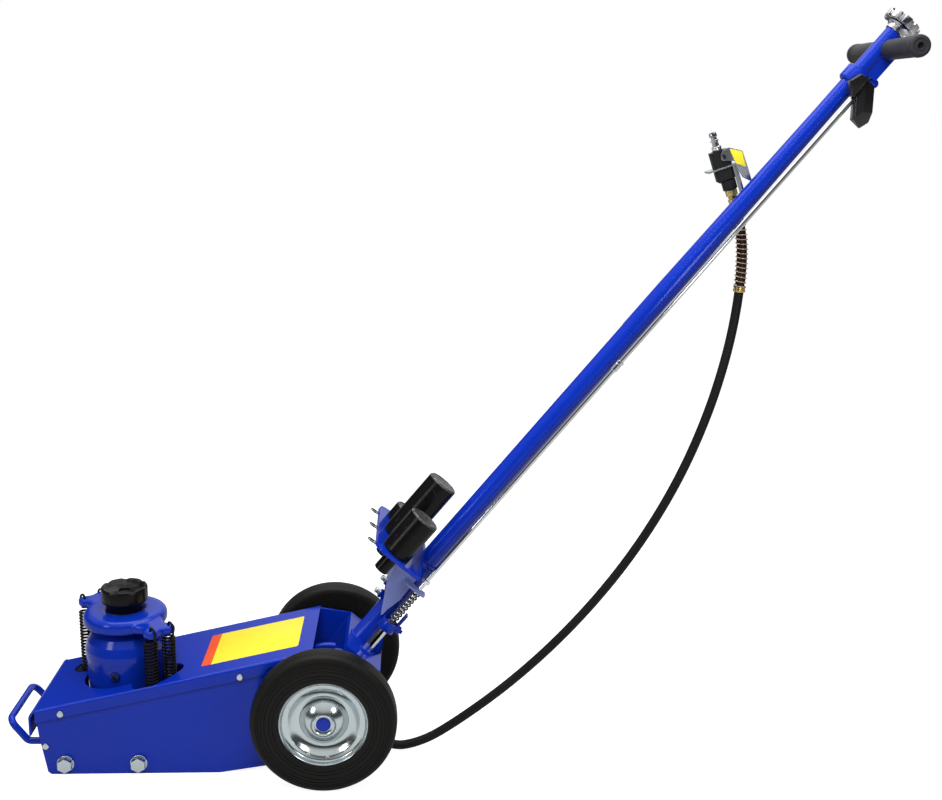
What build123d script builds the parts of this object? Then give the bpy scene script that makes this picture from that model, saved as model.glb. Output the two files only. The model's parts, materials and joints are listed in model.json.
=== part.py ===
from build123d import *
import os
from math import cos, sin, tan, pi, radians, acos

os.makedirs("parts", exist_ok=True)

# Air-hydraulic trolley jack. Millimetres. The origin is on the ground under the lifting ram,
# +X runs back towards the handle, +Y to the jack's right, +Z up.

# ---- driving dimensions: fits ----
RUN_FIT = 0.05            # radial clearance of a shaft turning or sliding in its bore
LOOSE_FIT = 0.5           # clearance of what drops into a pocket or slot
THROUGH = 1.0             # how far a cutting tool runs past the face it cuts
FACE_GAP = 0.1            # gap between two faces that slide or turn on each other

# ---- driving dimensions: chassis ----
SIDE_INNER = 79.5         # half the gap between the side plates
SIDE_T = 4.0
CHASSIS_FRONT = -111.0
SIDE_CORNER = 3.0         # cut off the side plate's top front corner, inside the lid's bend
CHASSIS_REAR = 326.0
BASE_FRONT = -93.0
BASE_REAR = 140.0         # behind here the underside climbs to the axle
BASE_T = 6.0
COVER_T = 2.5
COVER_FRONT = -117.0
COVER_FRONT_Z = 95.0      # height of the cover's top face at its front edge
COVER_SLOPE = 12.6        # degrees
COVER_REAR = 272.0
COVER_BEND = 4.0          # outer radius of the folds
COVER_STEP = 208.0        # behind here the side flange is half as deep
COVER_FLANGE = 17.5       # depth of the turned-down side flange
COVER_LIP = 35.0          # depth of the turned-down front lip
LIP_BEND = 11.0           # outer radius of the bend above the lip
LIP_STEPS = 6             # flats that stand for that bend
OPENING_R = 61.0
NOTCH_R = 98.0
NOTCH_HALF_ANGLE = 28.5
NOTCH_CORNER = 19.0
EAR_ANGLE = -45.0         # direction of the near ear of the spring plate
BASE_BOLT_X = (-72.8, 28.4)
BASE_BOLT_Z = 16.5
BOLT_R = 6.0
BOLT_GRIP = 20.0          # how deep a base bolt screws into the hydraulic base
BOLT_HEAD_AF = 19.0
BOLT_HEAD_T = 7.5
WASHER_R = 12.0
WASHER_T = 2.2
BAIL_R = 5.0
BAIL_HALF = 59.0
BAIL_REACH = -154.8
BAIL_KNEE = -129.8
BAIL_CORNER = 56.2
BAIL_Z = 38.7
BAIL_TOP_Z = 69.3

CROSSBAR_X = (-104.0, -92.0)
CROSSBAR_Z = (33.0, 53.0)
REAR_BAR_T = 6.0
REAR_BAR_SETBACK = 2.0
REAR_BAR_Z = (31.0, 62.0)
REAR_FLANGE = 22.0
REAR_FLANGE_T = 4.0
SCREW_R = 2.5
SCREW_HEAD_R = 4.6
SCREW_HEAD_T = 2.6
SCREW_PLACES = [(-75.3, 92.6), (172.5, 146.0)]
BAR_SCREW = (-98.7, 42.9)
INLET_R = 7.0             # bulkhead of the hose inlet
INLET_NOSE = 12.0
INLET_SHANK = 16.0        # how far the bulkhead's shank starts inside the rear crossmember
PIPE_R = 5.0
PIPE_Y = -18.0            # where the inlet pipe leaves the air motor
PIPE_STRAIGHT = 30.0
PIPE_END = 40.0

# ---- driving dimensions: hydraulic unit ----
BLOCK_FRONT = -88.0
BLOCK_TOP = 34.0
RESERVOIR_R = 55.5
RESERVOIR_TOP = 187.0
RESERVOIR_WALL = 4.0
RAM_R = 26.0
BARREL_GAP = 2.0          # oil space between ram and barrel
BARREL_WALL = 6.0
BARREL_TOP = 178.0
PISTON_T = 20.0
PISTON_LIFT = 10.0        # the lowered piston stands this far above the block
GLAND_LAND = 7.0          # the gland nut's width outside the ram
GLAND_HEX_T = 4.0
PLUG_X = -5.0
PLUG_Z = 133.0
PLUG_R = 4.5
PLUG_HEAD_R = 6.2
PLUG_REACH = 59.0
PLUG_ROOT = 2.0           # how deep the plug's shank starts inside the wall
PLATE_Z = 193.5           # underside of the spring plate with the ram down
PLATE_T = 20.0
PLATE_R = 58.5
EAR_REACH = 95.0
EAR_W = 46.0
EAR_T = 12.0
EAR_RISE = 3.5            # the ears' underside above the plate's
EAR_ROOT = 20.0           # how deep an ear runs into the plate
EAR_CORNER = 9.0
WAIST_R = 9.0             # the ears are waisted where they leave the ring
WAIST_AT = (70.0, 27.0)
EAR_DIP_R = 12.0          # and dip between their two lobes
EAR_DIP_X = 103.0
SPRING_RING_R = 85.0      # the four return springs stand on this circle
SPRING_SPREAD = 10.0      # degrees either side of the ear's middle
SPRING_R = 9.6
SPRING_WIRE_R = 1.6
SPRING_COIL_TOP = 194.0
SPRING_TAIL = 14.0        # straight wire under the coils
SADDLE_LAND = 0.5         # the neck is this much wider than the ram, so that it sits on the spring plate
SADDLE_FLARE = 6.0        # and the head this much wider than the neck
SADDLE_TOP = 247.6
SADDLE_NECK_H = 11.0
SADDLE_SPIGOT_R = 12.0
SADDLE_SPIGOT_H = 20.0
SADDLE_DISH_R = 20.0
SADDLE_DISH_DEPTH = 6.0
GROOVE_R = 3.0
GROOVE_LENGTH = 24.0
GROOVE_COUNT = 8
PUMP_HALF = 28.0
PUMP_WALL = 5.0
PUMP_FRONT = 58.0
PUMP_REAR = 104.0
PUMP_TOP = 116.0
MOTOR_Z = 58.0
MOTOR_R = 34.0
MOTOR_BORE = 30.0
MOTOR_LENGTH = 112.0
MOTOR_CAP_T = 10.0
MOTOR_STROKE = 30.0
MOTOR_PISTON_T = 12.0
MOTOR_BACK_GAP = 8.0
PLUNGER_R = 8.0
RELEASE_R = 6.0
RELEASE_LENGTH = 198.0
FORK_LENGTH = 10.0
FORK_R = 8.0
LINK_R = 5.0
LINK_BEND = 12.0
ROD_FORK_LENGTH = 16.0
ROD_FORK_R = 7.0

# ---- driving dimensions: wheels ----
AXLE_X = 290.3
AXLE_Z = 100.0            # also the wheel radius
AXLE_R = 10.0
AXLE_INNER = 16.0         # the stub axles stop this far from the middle
AXLE_COLLAR_R = 16.0
TYRE_W = 38.0
WHEEL_GAP = 21.15         # from the side plate to the tyre
RIM_R = 60.6
HUB_R = 20.0
HUB_RECESS_R = 16.8
HUB_REACH = 17.35         # the hub's end beyond the tyre's middle
HUB_RECESS_DEPTH = 6.0
STUB_SETBACK = 1.5        # the stub axle ends this far inside the hub
RING_T = 2.4

# ---- driving dimensions: handle, in its own axes ----
# S runs up the handle from the wheel axle, N stands square to it on the upper side.
HANDLE_ANGLE = 50.31      # degrees above horizontal
TUBE_N = 8.0              # the tubes lie this far above the line through the axle
WEB_S = 72.0
WEB_T = 8.0
WEB_LOW = -31.0
WEB_HIGH = 29.0
CHEEK_INNER = 56.0
CHEEK_T = 6.0
CHEEK_R = 24.0
POST_WALL = 1.0           # the post's wall around the lower tube
POST_BORE_GAP = 4.0       # space around the release rod
RING_BOSS_T = 3.0
RING_BOSS_WALL = 5.0
POST_END = 222.0
LOWER_TUBE_R = 14.5
LOWER_TUBE_START = 150.0
SEAM_S = 668.0
UPPER_TUBE_R = 14.9
TUBE_TOP = 1190.0
TAPER_START = 740.0
TAPER_DROP = 134.0        # the taper ends this far below the tube's top
TOP_TUBE_R = 11.9
TUBE_WALL = 2.6
CROSSBAR_DROP = 22.3      # the T-bar's axis below the tube's top
CROSSBAR_R = 9.0
GUSSET_HALF = 9.0
GUSSET_N = (-15.0, 2.0)
LUG_N = -16.5
LUG_R = 6.0
GRIP_R = 13.3
GRIP_END = 118.0
GRIP_START = 14.5
GRIP_CAP_T = 6.0
GRIP_HOLE_R = 3.6
GRIP_EDGE = 3.0
HUB_NUT_T = 10.0
HUB_NUT_AF = 24.0
KNOB_R = 25.5
KNOB_T = 12.0
KNOB_LOBES = 8
LOBE_R = 6.5
KNOB_WEB = 4.0            # the lobes stand this far out of the knob's body
RELEASE_ROD_R = 4.5
ROD_FOOT_S = 84.0
TRAY_S = 226.0
TRAY_T = 5.0
TRAY_LOW = 22.5
TRAY_HIGH = 98.0
TRAY_HALF = 93.0
TRAY_CORNER = 18.0
FLANGE_T = 4.0
FLANGE_RISE = 18.0
FLANGE_HALF = 16.0
TRAY_NECK = 3.0
ADAPTER_N = 66.0
ADAPTER_PITCH = 65.0
ADAPTER_TOPS = {"short_adapter": (65.0, 257.0, 19.0), "long_adapter": (0.0, 335.6, 22.5),
                "medium_adapter": (-65.0, 294.7, 22.0)}
SPIGOT_R = 10.7
SPIGOT_END = 198.0
CLIP_R = 1.4
CLIP_GAP = 3.5            # the clips lie this far under the tray
CLIP_TAIL = 17.0
ADAPTER_EDGE = 2.0
ADAPTER_DISH = 1.5
ADAPTER_RIM = 5.0
BRACKET_T = 3.0
BRACKET_GAP = 0.3
BRACKET_FLOOR_N = 34.5
BRACKET_BOLTS = ((152.0, 38.0), (172.0, 43.0))
BRACKET_BOLT_R = 4.0
BRACKET_NUT_AF = 11.0
BRACKET_NUT_T = 5.0

# ---- driving dimensions: latch and trigger ----
LATCH_GAP = 11.5          # from the post's side to the latch's axis
LATCH_N = -3.5
PIN_R = 6.4
PIN_TIP_S = 69.5
QUADRANT_R = 69.0
QUADRANT_T = 10.0
NOTCH_DEPTH = 8.0
NOTCH_TURNS = (-30.0, 0.0, 28.0)     # degrees of handle swing at which the pin can drop in
QUADRANT_ANGLES = (-4.0, 50.0, 106.0)
EYE_R = 7.0
EYE_REACH = 44.0
EYE_ANGLE = 94.0
CUP_S = 122.0
CUP_R = 13.0
CUP_T = 4.0
CUP_H = 15.0
CUP_WALL = 3.0
CUP_TAB_TOP = 36.0
CUP_TAB_HALF = 6.0
CUP_TAB_T = 2.6
CUP_BOLT_S = 10.0
LATCH_SPRING_R = 8.0
SEAT_S = 194.0
SEAT_T = 3.0
LATCH_ROD_R = 3.5
SEAT_CORNER = 6.0
LATCH_ROD_DROP = 92.0     # the latch rod ends this far below the tube's top
ROD_NUT_S = 211.0
TRIGGER_DROP = 80.0       # the trigger's pivot below the tube's top
TRIGGER_N = 10.0
TRIGGER_HALF = 11.5
TRIGGER_OFFSET = 3.5      # the trigger's middle lies this far outside the latch
TRIGGER_CHEEK = 3.5
PIVOT_R = 3.0
STUD_HEAD_T = 1.2         # the trigger's stud ends in a thin head
STUD_HEAD_R = 5.0
STUD_ROOT = 3.0           # and starts this deep in the collar
COLLAR_DROPS = (86.0, 64.0)
COLLAR_R = 17.5

# ---- driving dimensions: hose and air valve ----
HOSE_R = 6.5
VALVE_AT = (852.0, 27.0, 793.0)
FITTING_H = 21.0
FITTING_AF = 15.0
CASE_HALF = 9.8           # half the depth of the valve's case
CASE_ACROSS = (-15.0, 10.0)
CASE_ALONG = (33.0, 76.0)
VALVE_NECK_R = 10.0
VALVE_NECK_H = 13.0
NIPPLE_ACROSS = -3.0
PLUNGER_ALONG = 58.0
PLUNGER_Y = 2.0
VALVE_PLUNGER_R = 3.0
PLUNGER_POCKET = -3.0     # the plunger's bore ends here, across the case
LEVER_PIVOT = 67.0
LEVER_PIN_R = 2.0
LEVER_T = 2.0
LEVER_FOOT = 57.5          # the foot's low edge, which clears the strap when pressed
LEVER_GAP = 0.2
STRAP_T = 2.5
STRAP_AT = 51.5
STRAP_REACH = -25.0       # the strap's free end, across the valve
STRAP_BAR_END = 8.5       # its bar over the case stops short of the lever
STRAP_LEG = (13.0, 15.5)
GUARD_T = 1.8
HOSE_START = (336.0, -36.0, 43.0)
HOSE_POINTS = [HOSE_START, (374, -33, 9), (426, -24, 13), (480, -20, 46), (545, -15, 94),
               (605, -11, 148), (660, -6, 206), (712, -1, 271), (757, 4, 340), (796, 9, 414),
               (828, 14, 495), (850, 20, 571), (863, 25, 640), (868, 27, 705), (864, 27, 759),
               VALVE_AT]

# ---- worked-out places ----
SIDE_OUTER = SIDE_INNER + SIDE_T
WHEEL_Y = SIDE_OUTER + WHEEL_GAP + TYRE_W / 2
HUB_END = WHEEL_Y + HUB_REACH
SADDLE_NECK_R = RAM_R + SADDLE_LAND
SADDLE_R = SADDLE_NECK_R + SADDLE_FLARE
BARREL_BORE = RAM_R + BARREL_GAP
BARREL_R = BARREL_BORE + BARREL_WALL
GLAND_R = RAM_R + GLAND_LAND
POST_R = LOWER_TUBE_R + POST_WALL
LATCH_Y = -POST_R - LATCH_GAP
TAPER_END = TUBE_TOP - TAPER_DROP
CROSSBAR_S = TUBE_TOP - CROSSBAR_DROP
COLLAR_S = tuple(TUBE_TOP - drop for drop in COLLAR_DROPS)
LATCH_ROD_TOP = TUBE_TOP - LATCH_ROD_DROP
TRIGGER_S = TUBE_TOP - TRIGGER_DROP
TRIGGER_Y = (LATCH_Y - TRIGGER_OFFSET - TRIGGER_HALF, LATCH_Y - TRIGGER_OFFSET + TRIGGER_HALF)
MOTOR_END = PUMP_REAR + MOTOR_LENGTH
RELEASE_START = PUMP_FRONT + PUMP_WALL + THROUGH
COVER_HALF = SIDE_OUTER + COVER_T
COVER_RISE = tan(radians(COVER_SLOPE))
COVER_DROP = COVER_T / cos(radians(COVER_SLOPE))
HANDLE = Plane(origin=(AXLE_X, 0, AXLE_Z),
               x_dir=(cos(radians(HANDLE_ANGLE)), 0, sin(radians(HANDLE_ANGLE))),
               z_dir=(-sin(radians(HANDLE_ANGLE)), 0, cos(radians(HANDLE_ANGLE))))
HOSE_OUT = (Vector(*HOSE_POINTS[1]) - Vector(*HOSE_START)).normalized()
INLET_AT = Vector(*HOSE_START) - HOSE_OUT * INLET_NOSE
HOSE_END = Vector(*VALVE_AT) - Vector(*HOSE_POINTS[-2])
VALVE = Plane(origin=VALVE_AT, x_dir=(HOSE_END.Z, 0, -HOSE_END.X), z_dir=tuple(HOSE_END))
UP, DOWN, BACK, RIGHT, LEFT = (0, 0, 1), (0, 0, -1), (1, 0, 0), (0, 1, 0), (0, -1, 0)

pieces = {}


def cover_z(x):
    """Height of the cover's top face at x."""
    return COVER_FRONT_Z + (x - COVER_FRONT) * COVER_RISE


def rod(start, along, length, radius, bore=0.0):
    """A round bar or tube from a point, along a direction."""
    bar = Cylinder(radius, length, align=(Align.CENTER, Align.CENTER, Align.MIN))
    if bore:
        bar -= Cylinder(bore, length, align=(Align.CENTER, Align.CENTER, Align.MIN))
    return Plane(origin=start, z_dir=along) * bar


def block(x, y, z):
    """A box given by its three pairs of limits."""
    low = [min(pair) for pair in (x, y, z)]
    size = [max(pair) - min(pair) for pair in (x, y, z)]
    return Pos(*low) * Box(*size, align=(Align.MIN, Align.MIN, Align.MIN))


def plate(outline, y, corner=0.0):
    """A flat plate: an outline in the X-Z plane between two values of y."""
    face = Plane.XZ * make_face(Polyline(*outline, close=True))
    body = Pos(0, min(y), 0) * extrude(face, amount=max(y) - min(y), dir=RIGHT)
    if corner:
        body = fillet(body.edges().filter_by(Axis.Y), corner)
    return body


def turned(profile):
    """A piece turned about Z from (radius, height) points."""
    outline = Plane.XZ * make_face(Polyline(*profile, close=True))
    return revolve(outline, Axis.Z)


def hexagon(start, along, length, across_flats):
    """A hexagonal bar from a point, along a direction."""
    face = RegularPolygon(across_flats / 2, 6, major_radius=False)
    return Plane(origin=start, z_dir=along) * extrude(face, amount=length)


def mirrored(piece):
    return mirror(piece, about=Plane.XZ)


def polar(radius, angle, z=0.0):
    return (radius * cos(radians(angle)), radius * sin(radians(angle)), z)


def turn_radii(points):
    """The radius at each inner point: as large as the two runs beside it allow."""
    radii = []
    for before, here, after in zip(points, points[1:], points[2:]):
        one, two = Vector(here) - Vector(before), Vector(after) - Vector(here)
        turn = acos(max(-1, min(1, one.normalized().dot(two.normalized()))))
        radii.append(0.45 * min(one.length, two.length) / tan(turn / 2))
    return radii


def tube_along(points, radius, radii, bore=0.0):
    """A round section swept along straight runs joined by tangent arcs."""
    path = FilletPolyline(*points, radius=radii)
    section = Circle(radius)
    if bore:
        section -= Circle(bore)
    return sweep(Plane(origin=path @ 0, z_dir=path % 0) * section, path=path), path


# ---- chassis ----
def side_plate():
    top = COVER_DROP
    cut = CHASSIS_FRONT + SIDE_CORNER
    outline = [(cut, cover_z(cut) - top), (CHASSIS_FRONT, cover_z(CHASSIS_FRONT) - top - SIDE_CORNER),
               (-106.8, 56), (-97.7, 4),
               (BASE_FRONT, 0), (BASE_REAR, 0), (CHASSIS_REAR, 28.6), (CHASSIS_REAR, 160),
               (319, 171), (COVER_REAR, cover_z(COVER_REAR) - top)]
    body = plate(outline, (SIDE_INNER, SIDE_OUTER))
    body -= rod((AXLE_X, SIDE_INNER, AXLE_Z), RIGHT, SIDE_T, AXLE_R)
    for x in BASE_BOLT_X:
        body -= rod((x, SIDE_INNER, BASE_BOLT_Z), RIGHT, SIDE_T, BOLT_R)
    body -= rod((BAR_SCREW[0], SIDE_INNER, BAR_SCREW[1]), RIGHT, SIDE_T, SCREW_R)
    for x, z in SCREW_PLACES:
        body -= rod((x, SIDE_INNER, z), RIGHT, SIDE_T, SCREW_R)
    return body


def opening_cutter():
    """Round well for the ram, with two notches that let the ears and springs through."""
    wedge_r = NOTCH_R * 2
    wedge = make_face(Polyline((0, 0), polar(wedge_r, -NOTCH_HALF_ANGLE)[:2],
                               polar(wedge_r, NOTCH_HALF_ANGLE)[:2], close=True))
    notch = (Circle(NOTCH_R) - Circle(OPENING_R / 2)) & wedge
    corners = notch.vertices().sort_by(lambda v: (v.X ** 2 + v.Y ** 2))[-2:]
    notch = fillet(corners, NOTCH_CORNER)
    sketch = Circle(OPENING_R)
    sketch += Rot(0, 0, EAR_ANGLE) * notch
    sketch += Rot(0, 0, EAR_ANGLE + 180) * notch
    sketch &= Rectangle(4 * NOTCH_R, 2 * SIDE_OUTER)
    return Pos(0, 0, 2 * BLOCK_TOP) * extrude(sketch, amount=RESERVOIR_TOP)


def top_cover():
    """Folded sheet lid: sloping top, side flanges, and a front lip."""
    length = COVER_REAR - COVER_FRONT
    long = 2 * length
    outer = RectangleRounded(2 * COVER_HALF, 2 * COVER_HALF, COVER_BEND)
    inner = Rectangle(2 * SIDE_OUTER, 2 * SIDE_OUTER)
    slope = (cos(radians(COVER_SLOPE)), 0, sin(radians(COVER_SLOPE)))
    square = (-slope[2], 0, slope[0])
    mid = Vector(COVER_FRONT, 0, COVER_FRONT_Z) - Vector(*square) * COVER_HALF
    mid = mid - Vector(*slope) * (long / 4)
    channel = Plane(origin=mid, x_dir=RIGHT, z_dir=slope) * extrude(outer - inner, amount=long)
    step = COVER_STEP
    depth = COVER_FLANGE
    front = COVER_FRONT - COVER_T
    bend = front + LIP_BEND * (1 - slope[2])
    outline = [(bend, cover_z(bend) + THROUGH), (COVER_REAR, cover_z(COVER_REAR) + THROUGH),
               (COVER_REAR, cover_z(COVER_REAR) - depth / 2), (step + 3, cover_z(step) - depth / 2),
               (step - 3, cover_z(step) - depth - 2), (bend, cover_z(bend) - depth)]
    body = channel & plate(outline, (-COVER_HALF - THROUGH, COVER_HALF + THROUGH))
    middle = (bend - LIP_BEND * square[0], cover_z(bend) - LIP_BEND * square[2])
    turns = [90 + COVER_SLOPE + (90 - COVER_SLOPE) * flat / LIP_STEPS for flat in range(LIP_STEPS + 1)]
    outer_arc = [(middle[0] + x, middle[1] + z) for x, z, _ in (polar(LIP_BEND, turn) for turn in turns)]
    inner_arc = [(middle[0] + x, middle[1] + z)
                 for x, z, _ in (polar(LIP_BEND - COVER_T, turn) for turn in turns)]
    low = COVER_FRONT_Z - COVER_LIP
    lip = outer_arc + [(front, low), (front + COVER_T, low)] + inner_arc[::-1]
    body += plate(lip, (-COVER_HALF, COVER_HALF))
    body -= opening_cutter()
    for x, z in SCREW_PLACES:
        body -= rod((x, -COVER_HALF - THROUGH, z), RIGHT, 2 * (COVER_HALF + THROUGH), SCREW_R)
    return body


def screw(x, z, y):
    head = rod((x, y, z), RIGHT, SCREW_HEAD_T, SCREW_HEAD_R)
    head = fillet(head.edges().filter_by(GeomType.CIRCLE).sort_by(Axis.Y)[-1], SCREW_HEAD_T / 2)
    return head + rod((x, SIDE_INNER, z), RIGHT, y - SIDE_INNER, SCREW_R)


def hex_bolt(x, z):
    """Base bolt with its washer as two solids, on the right side."""
    washer = rod((x, SIDE_OUTER, z), RIGHT, WASHER_T, WASHER_R, BOLT_R)
    bolt = rod((x, SIDE_INNER - BOLT_GRIP, z), RIGHT, SIDE_T + BOLT_GRIP + WASHER_T, BOLT_R)
    bolt += hexagon((x, SIDE_OUTER + WASHER_T, z), RIGHT, BOLT_HEAD_T, BOLT_HEAD_AF)
    return [washer, bolt]


def build_chassis():
    right = side_plate()
    pieces["right_side_plate"] = right
    pieces["left_side_plate"] = mirrored(right)
    pieces["top_cover"] = top_cover()
    screws = [screw(x, z, COVER_HALF) for x, z in SCREW_PLACES]
    screws.append(screw(*BAR_SCREW, SIDE_OUTER))
    pieces["cover_screws"] = Compound(screws + [mirrored(s) for s in screws])
    bolts = [solid for x in BASE_BOLT_X for solid in hex_bolt(x, BASE_BOLT_Z)]
    pieces["base_bolts"] = Compound(bolts + [mirrored(b) for b in bolts])
    pieces["base_plate"] = block((BASE_FRONT, BASE_REAR), (-SIDE_INNER, SIDE_INNER), (0, BASE_T))
    bar = block(CROSSBAR_X, (-SIDE_INNER, SIDE_INNER), CROSSBAR_Z)
    pieces["front_crossbar"] = fillet(bar.edges().filter_by(Axis.Y), 2.0)
    root = CROSSBAR_X[0]
    route = [(root, -BAIL_HALF, BAIL_Z), (BAIL_KNEE, -BAIL_HALF, BAIL_Z),
             (BAIL_REACH, -BAIL_CORNER, BAIL_TOP_Z), (BAIL_REACH, BAIL_CORNER, BAIL_TOP_Z),
             (BAIL_KNEE, BAIL_HALF, BAIL_Z), (root, BAIL_HALF, BAIL_Z)]
    pieces["front_bail"], _ = tube_along(route, BAIL_R, [11.0, 13.0, 13.0, 11.0])
    back = CHASSIS_REAR - REAR_BAR_SETBACK
    front = back - REAR_BAR_T
    low = REAR_BAR_Z[0]
    rear = block((front, back), (-SIDE_INNER, SIDE_INNER), REAR_BAR_Z)
    rear += block((front - REAR_FLANGE, front), (-SIDE_INNER, SIDE_INNER), (low, low + REAR_FLANGE_T))
    rear -= rod((CHASSIS_REAR - PIPE_END, INLET_AT.Y, INLET_AT.Z), BACK, PIPE_END, INLET_R)
    pieces["rear_crossmember"] = rear


def build_axle():
    reach = HUB_END - STUB_SETBACK - AXLE_INNER
    stub = rod((AXLE_X, AXLE_INNER, AXLE_Z), RIGHT, reach, AXLE_R)
    stub = chamfer(stub.edges().filter_by(GeomType.CIRCLE).sort_by(Axis.Y)[-1], 1.2)
    hub_inner = WHEEL_Y - TYRE_W / 2 - LOOSE_FIT
    stub += rod((AXLE_X, SIDE_OUTER, AXLE_Z), RIGHT, hub_inner - SIDE_OUTER, AXLE_COLLAR_R)
    pieces["right_stub_axle"] = stub
    pieces["left_stub_axle"] = mirrored(stub)
    seat = (AXLE_X, HUB_END - HUB_RECESS_DEPTH, AXLE_Z)
    washer = rod(seat, RIGHT, RING_T, HUB_RECESS_R - LOOSE_FIT, AXLE_R)
    pieces["axle_rings"] = Compound([washer, mirrored(washer)])
    middle = LATCH_Y
    disc = rod((AXLE_X, middle - QUADRANT_T / 2, AXLE_Z), RIGHT, QUADRANT_T, QUADRANT_R)
    reach = 2 * QUADRANT_R
    keep = [(AXLE_X, AXLE_Z)]
    keep += [(AXLE_X + reach * cos(radians(a)), AXLE_Z + reach * sin(radians(a)))
             for a in QUADRANT_ANGLES]
    side = (middle - QUADRANT_T / 2, middle + QUADRANT_T / 2)
    quadrant = disc & plate(keep, side)
    quadrant += rod((AXLE_X, side[0], AXLE_Z), RIGHT, QUADRANT_T, HUB_R)
    half = PIN_R + LOOSE_FIT
    depth = (QUADRANT_R - NOTCH_DEPTH, QUADRANT_R + NOTCH_DEPTH)
    notch = block(depth, (side[0] - THROUGH, side[1] + THROUGH), (LATCH_N - half, LATCH_N + half))
    for swing in NOTCH_TURNS:
        quadrant -= HANDLE * (Rot(0, -swing, 0) * notch)
    eye_x, eye_z, _ = polar(EYE_REACH, EYE_ANGLE)
    quadrant -= rod((AXLE_X + eye_x, side[0], AXLE_Z + eye_z), RIGHT, QUADRANT_T, EYE_R)
    quadrant -= rod((AXLE_X, side[0], AXLE_Z), RIGHT, QUADRANT_T, AXLE_R)
    pieces["latch_quadrant"] = quadrant


# ---- hydraulic unit ----
def build_hydraulics():
    base = block((BLOCK_FRONT, PUMP_REAR), (-SIDE_INNER, SIDE_INNER), (BASE_T, BLOCK_TOP))
    for x in BASE_BOLT_X:
        for y in (-SIDE_INNER, SIDE_INNER - BOLT_GRIP):
            base -= rod((x, y, BASE_BOLT_Z), RIGHT, BOLT_GRIP, BOLT_R)
    base += block((PUMP_FRONT, PUMP_REAR), (-PUMP_HALF, PUMP_HALF), (BLOCK_TOP, PUMP_TOP))
    bore_start = PUMP_FRONT + PUMP_WALL
    base -= rod((bore_start, 0, MOTOR_Z), BACK, PUMP_REAR - bore_start, PLUNGER_R)
    base -= rod((bore_start, 0, AXLE_Z), BACK, PUMP_REAR - bore_start, RELEASE_R)
    pieces["hydraulic_base"] = base

    outer = [(RESERVOIR_R, BLOCK_TOP), (RESERVOIR_R, 120), (56.5, 140), (57.5, 152), (57.5, 160), (54, 172),
             (48, 182), (40, RESERVOIR_TOP)]
    inner = [(r - RESERVOIR_WALL, z) for r, z in outer[:-2]]
    shell = turned(outer + [(GLAND_R, RESERVOIR_TOP), (GLAND_R, BARREL_TOP), (44, BARREL_TOP)]
                   + inner[::-1])
    solid = turned([(0, BLOCK_TOP)] + outer + [(0, RESERVOIR_TOP)])
    plug_at = (PLUG_X, 0, PLUG_Z)
    pieces["reservoir"] = shell - rod(plug_at, LEFT, 2 * PLUG_REACH, PLUG_R)
    head = rod(plug_at, LEFT, PLUG_REACH, PLUG_HEAD_R) - solid
    core = rod(plug_at, LEFT, RESERVOIR_R - PLUG_ROOT, 2 * PLUG_HEAD_R)
    shank = rod(plug_at, LEFT, PLUG_REACH - PLUG_ROOT, PLUG_R) & (solid - core)
    pieces["filler_plug"] = head + shank
    pieces["ram_barrel"] = rod((0, 0, BLOCK_TOP), UP, BARREL_TOP - BLOCK_TOP, BARREL_R, BARREL_BORE)
    gland = rod((0, 0, BARREL_TOP), UP, RESERVOIR_TOP - BARREL_TOP, GLAND_R)
    gland += hexagon((0, 0, RESERVOIR_TOP), UP, GLAND_HEX_T, 2 * GLAND_R)
    bore = rod((0, 0, BARREL_TOP), UP, RESERVOIR_TOP + GLAND_HEX_T - BARREL_TOP, RAM_R + RUN_FIT)
    pieces["gland_nut"] = gland - bore

    motor = rod((PUMP_REAR, 0, MOTOR_Z), BACK, MOTOR_LENGTH, MOTOR_R, MOTOR_BORE)
    pieces["air_motor_cylinder"] = motor + rod((MOTOR_END, 0, MOTOR_Z), BACK, MOTOR_CAP_T, MOTOR_R)
    face = MOTOR_END - MOTOR_BACK_GAP - MOTOR_PISTON_T
    piston = rod((face, 0, MOTOR_Z), BACK, MOTOR_PISTON_T, MOTOR_BORE - RUN_FIT)
    tip = RELEASE_START + MOTOR_STROKE
    piston += rod((tip, 0, MOTOR_Z), BACK, face - tip, PLUNGER_R - RUN_FIT)
    pieces["air_piston"] = piston
    pieces["release_shaft"] = rod((RELEASE_START, 0, AXLE_Z), BACK, RELEASE_LENGTH, RELEASE_R - RUN_FIT)


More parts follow.
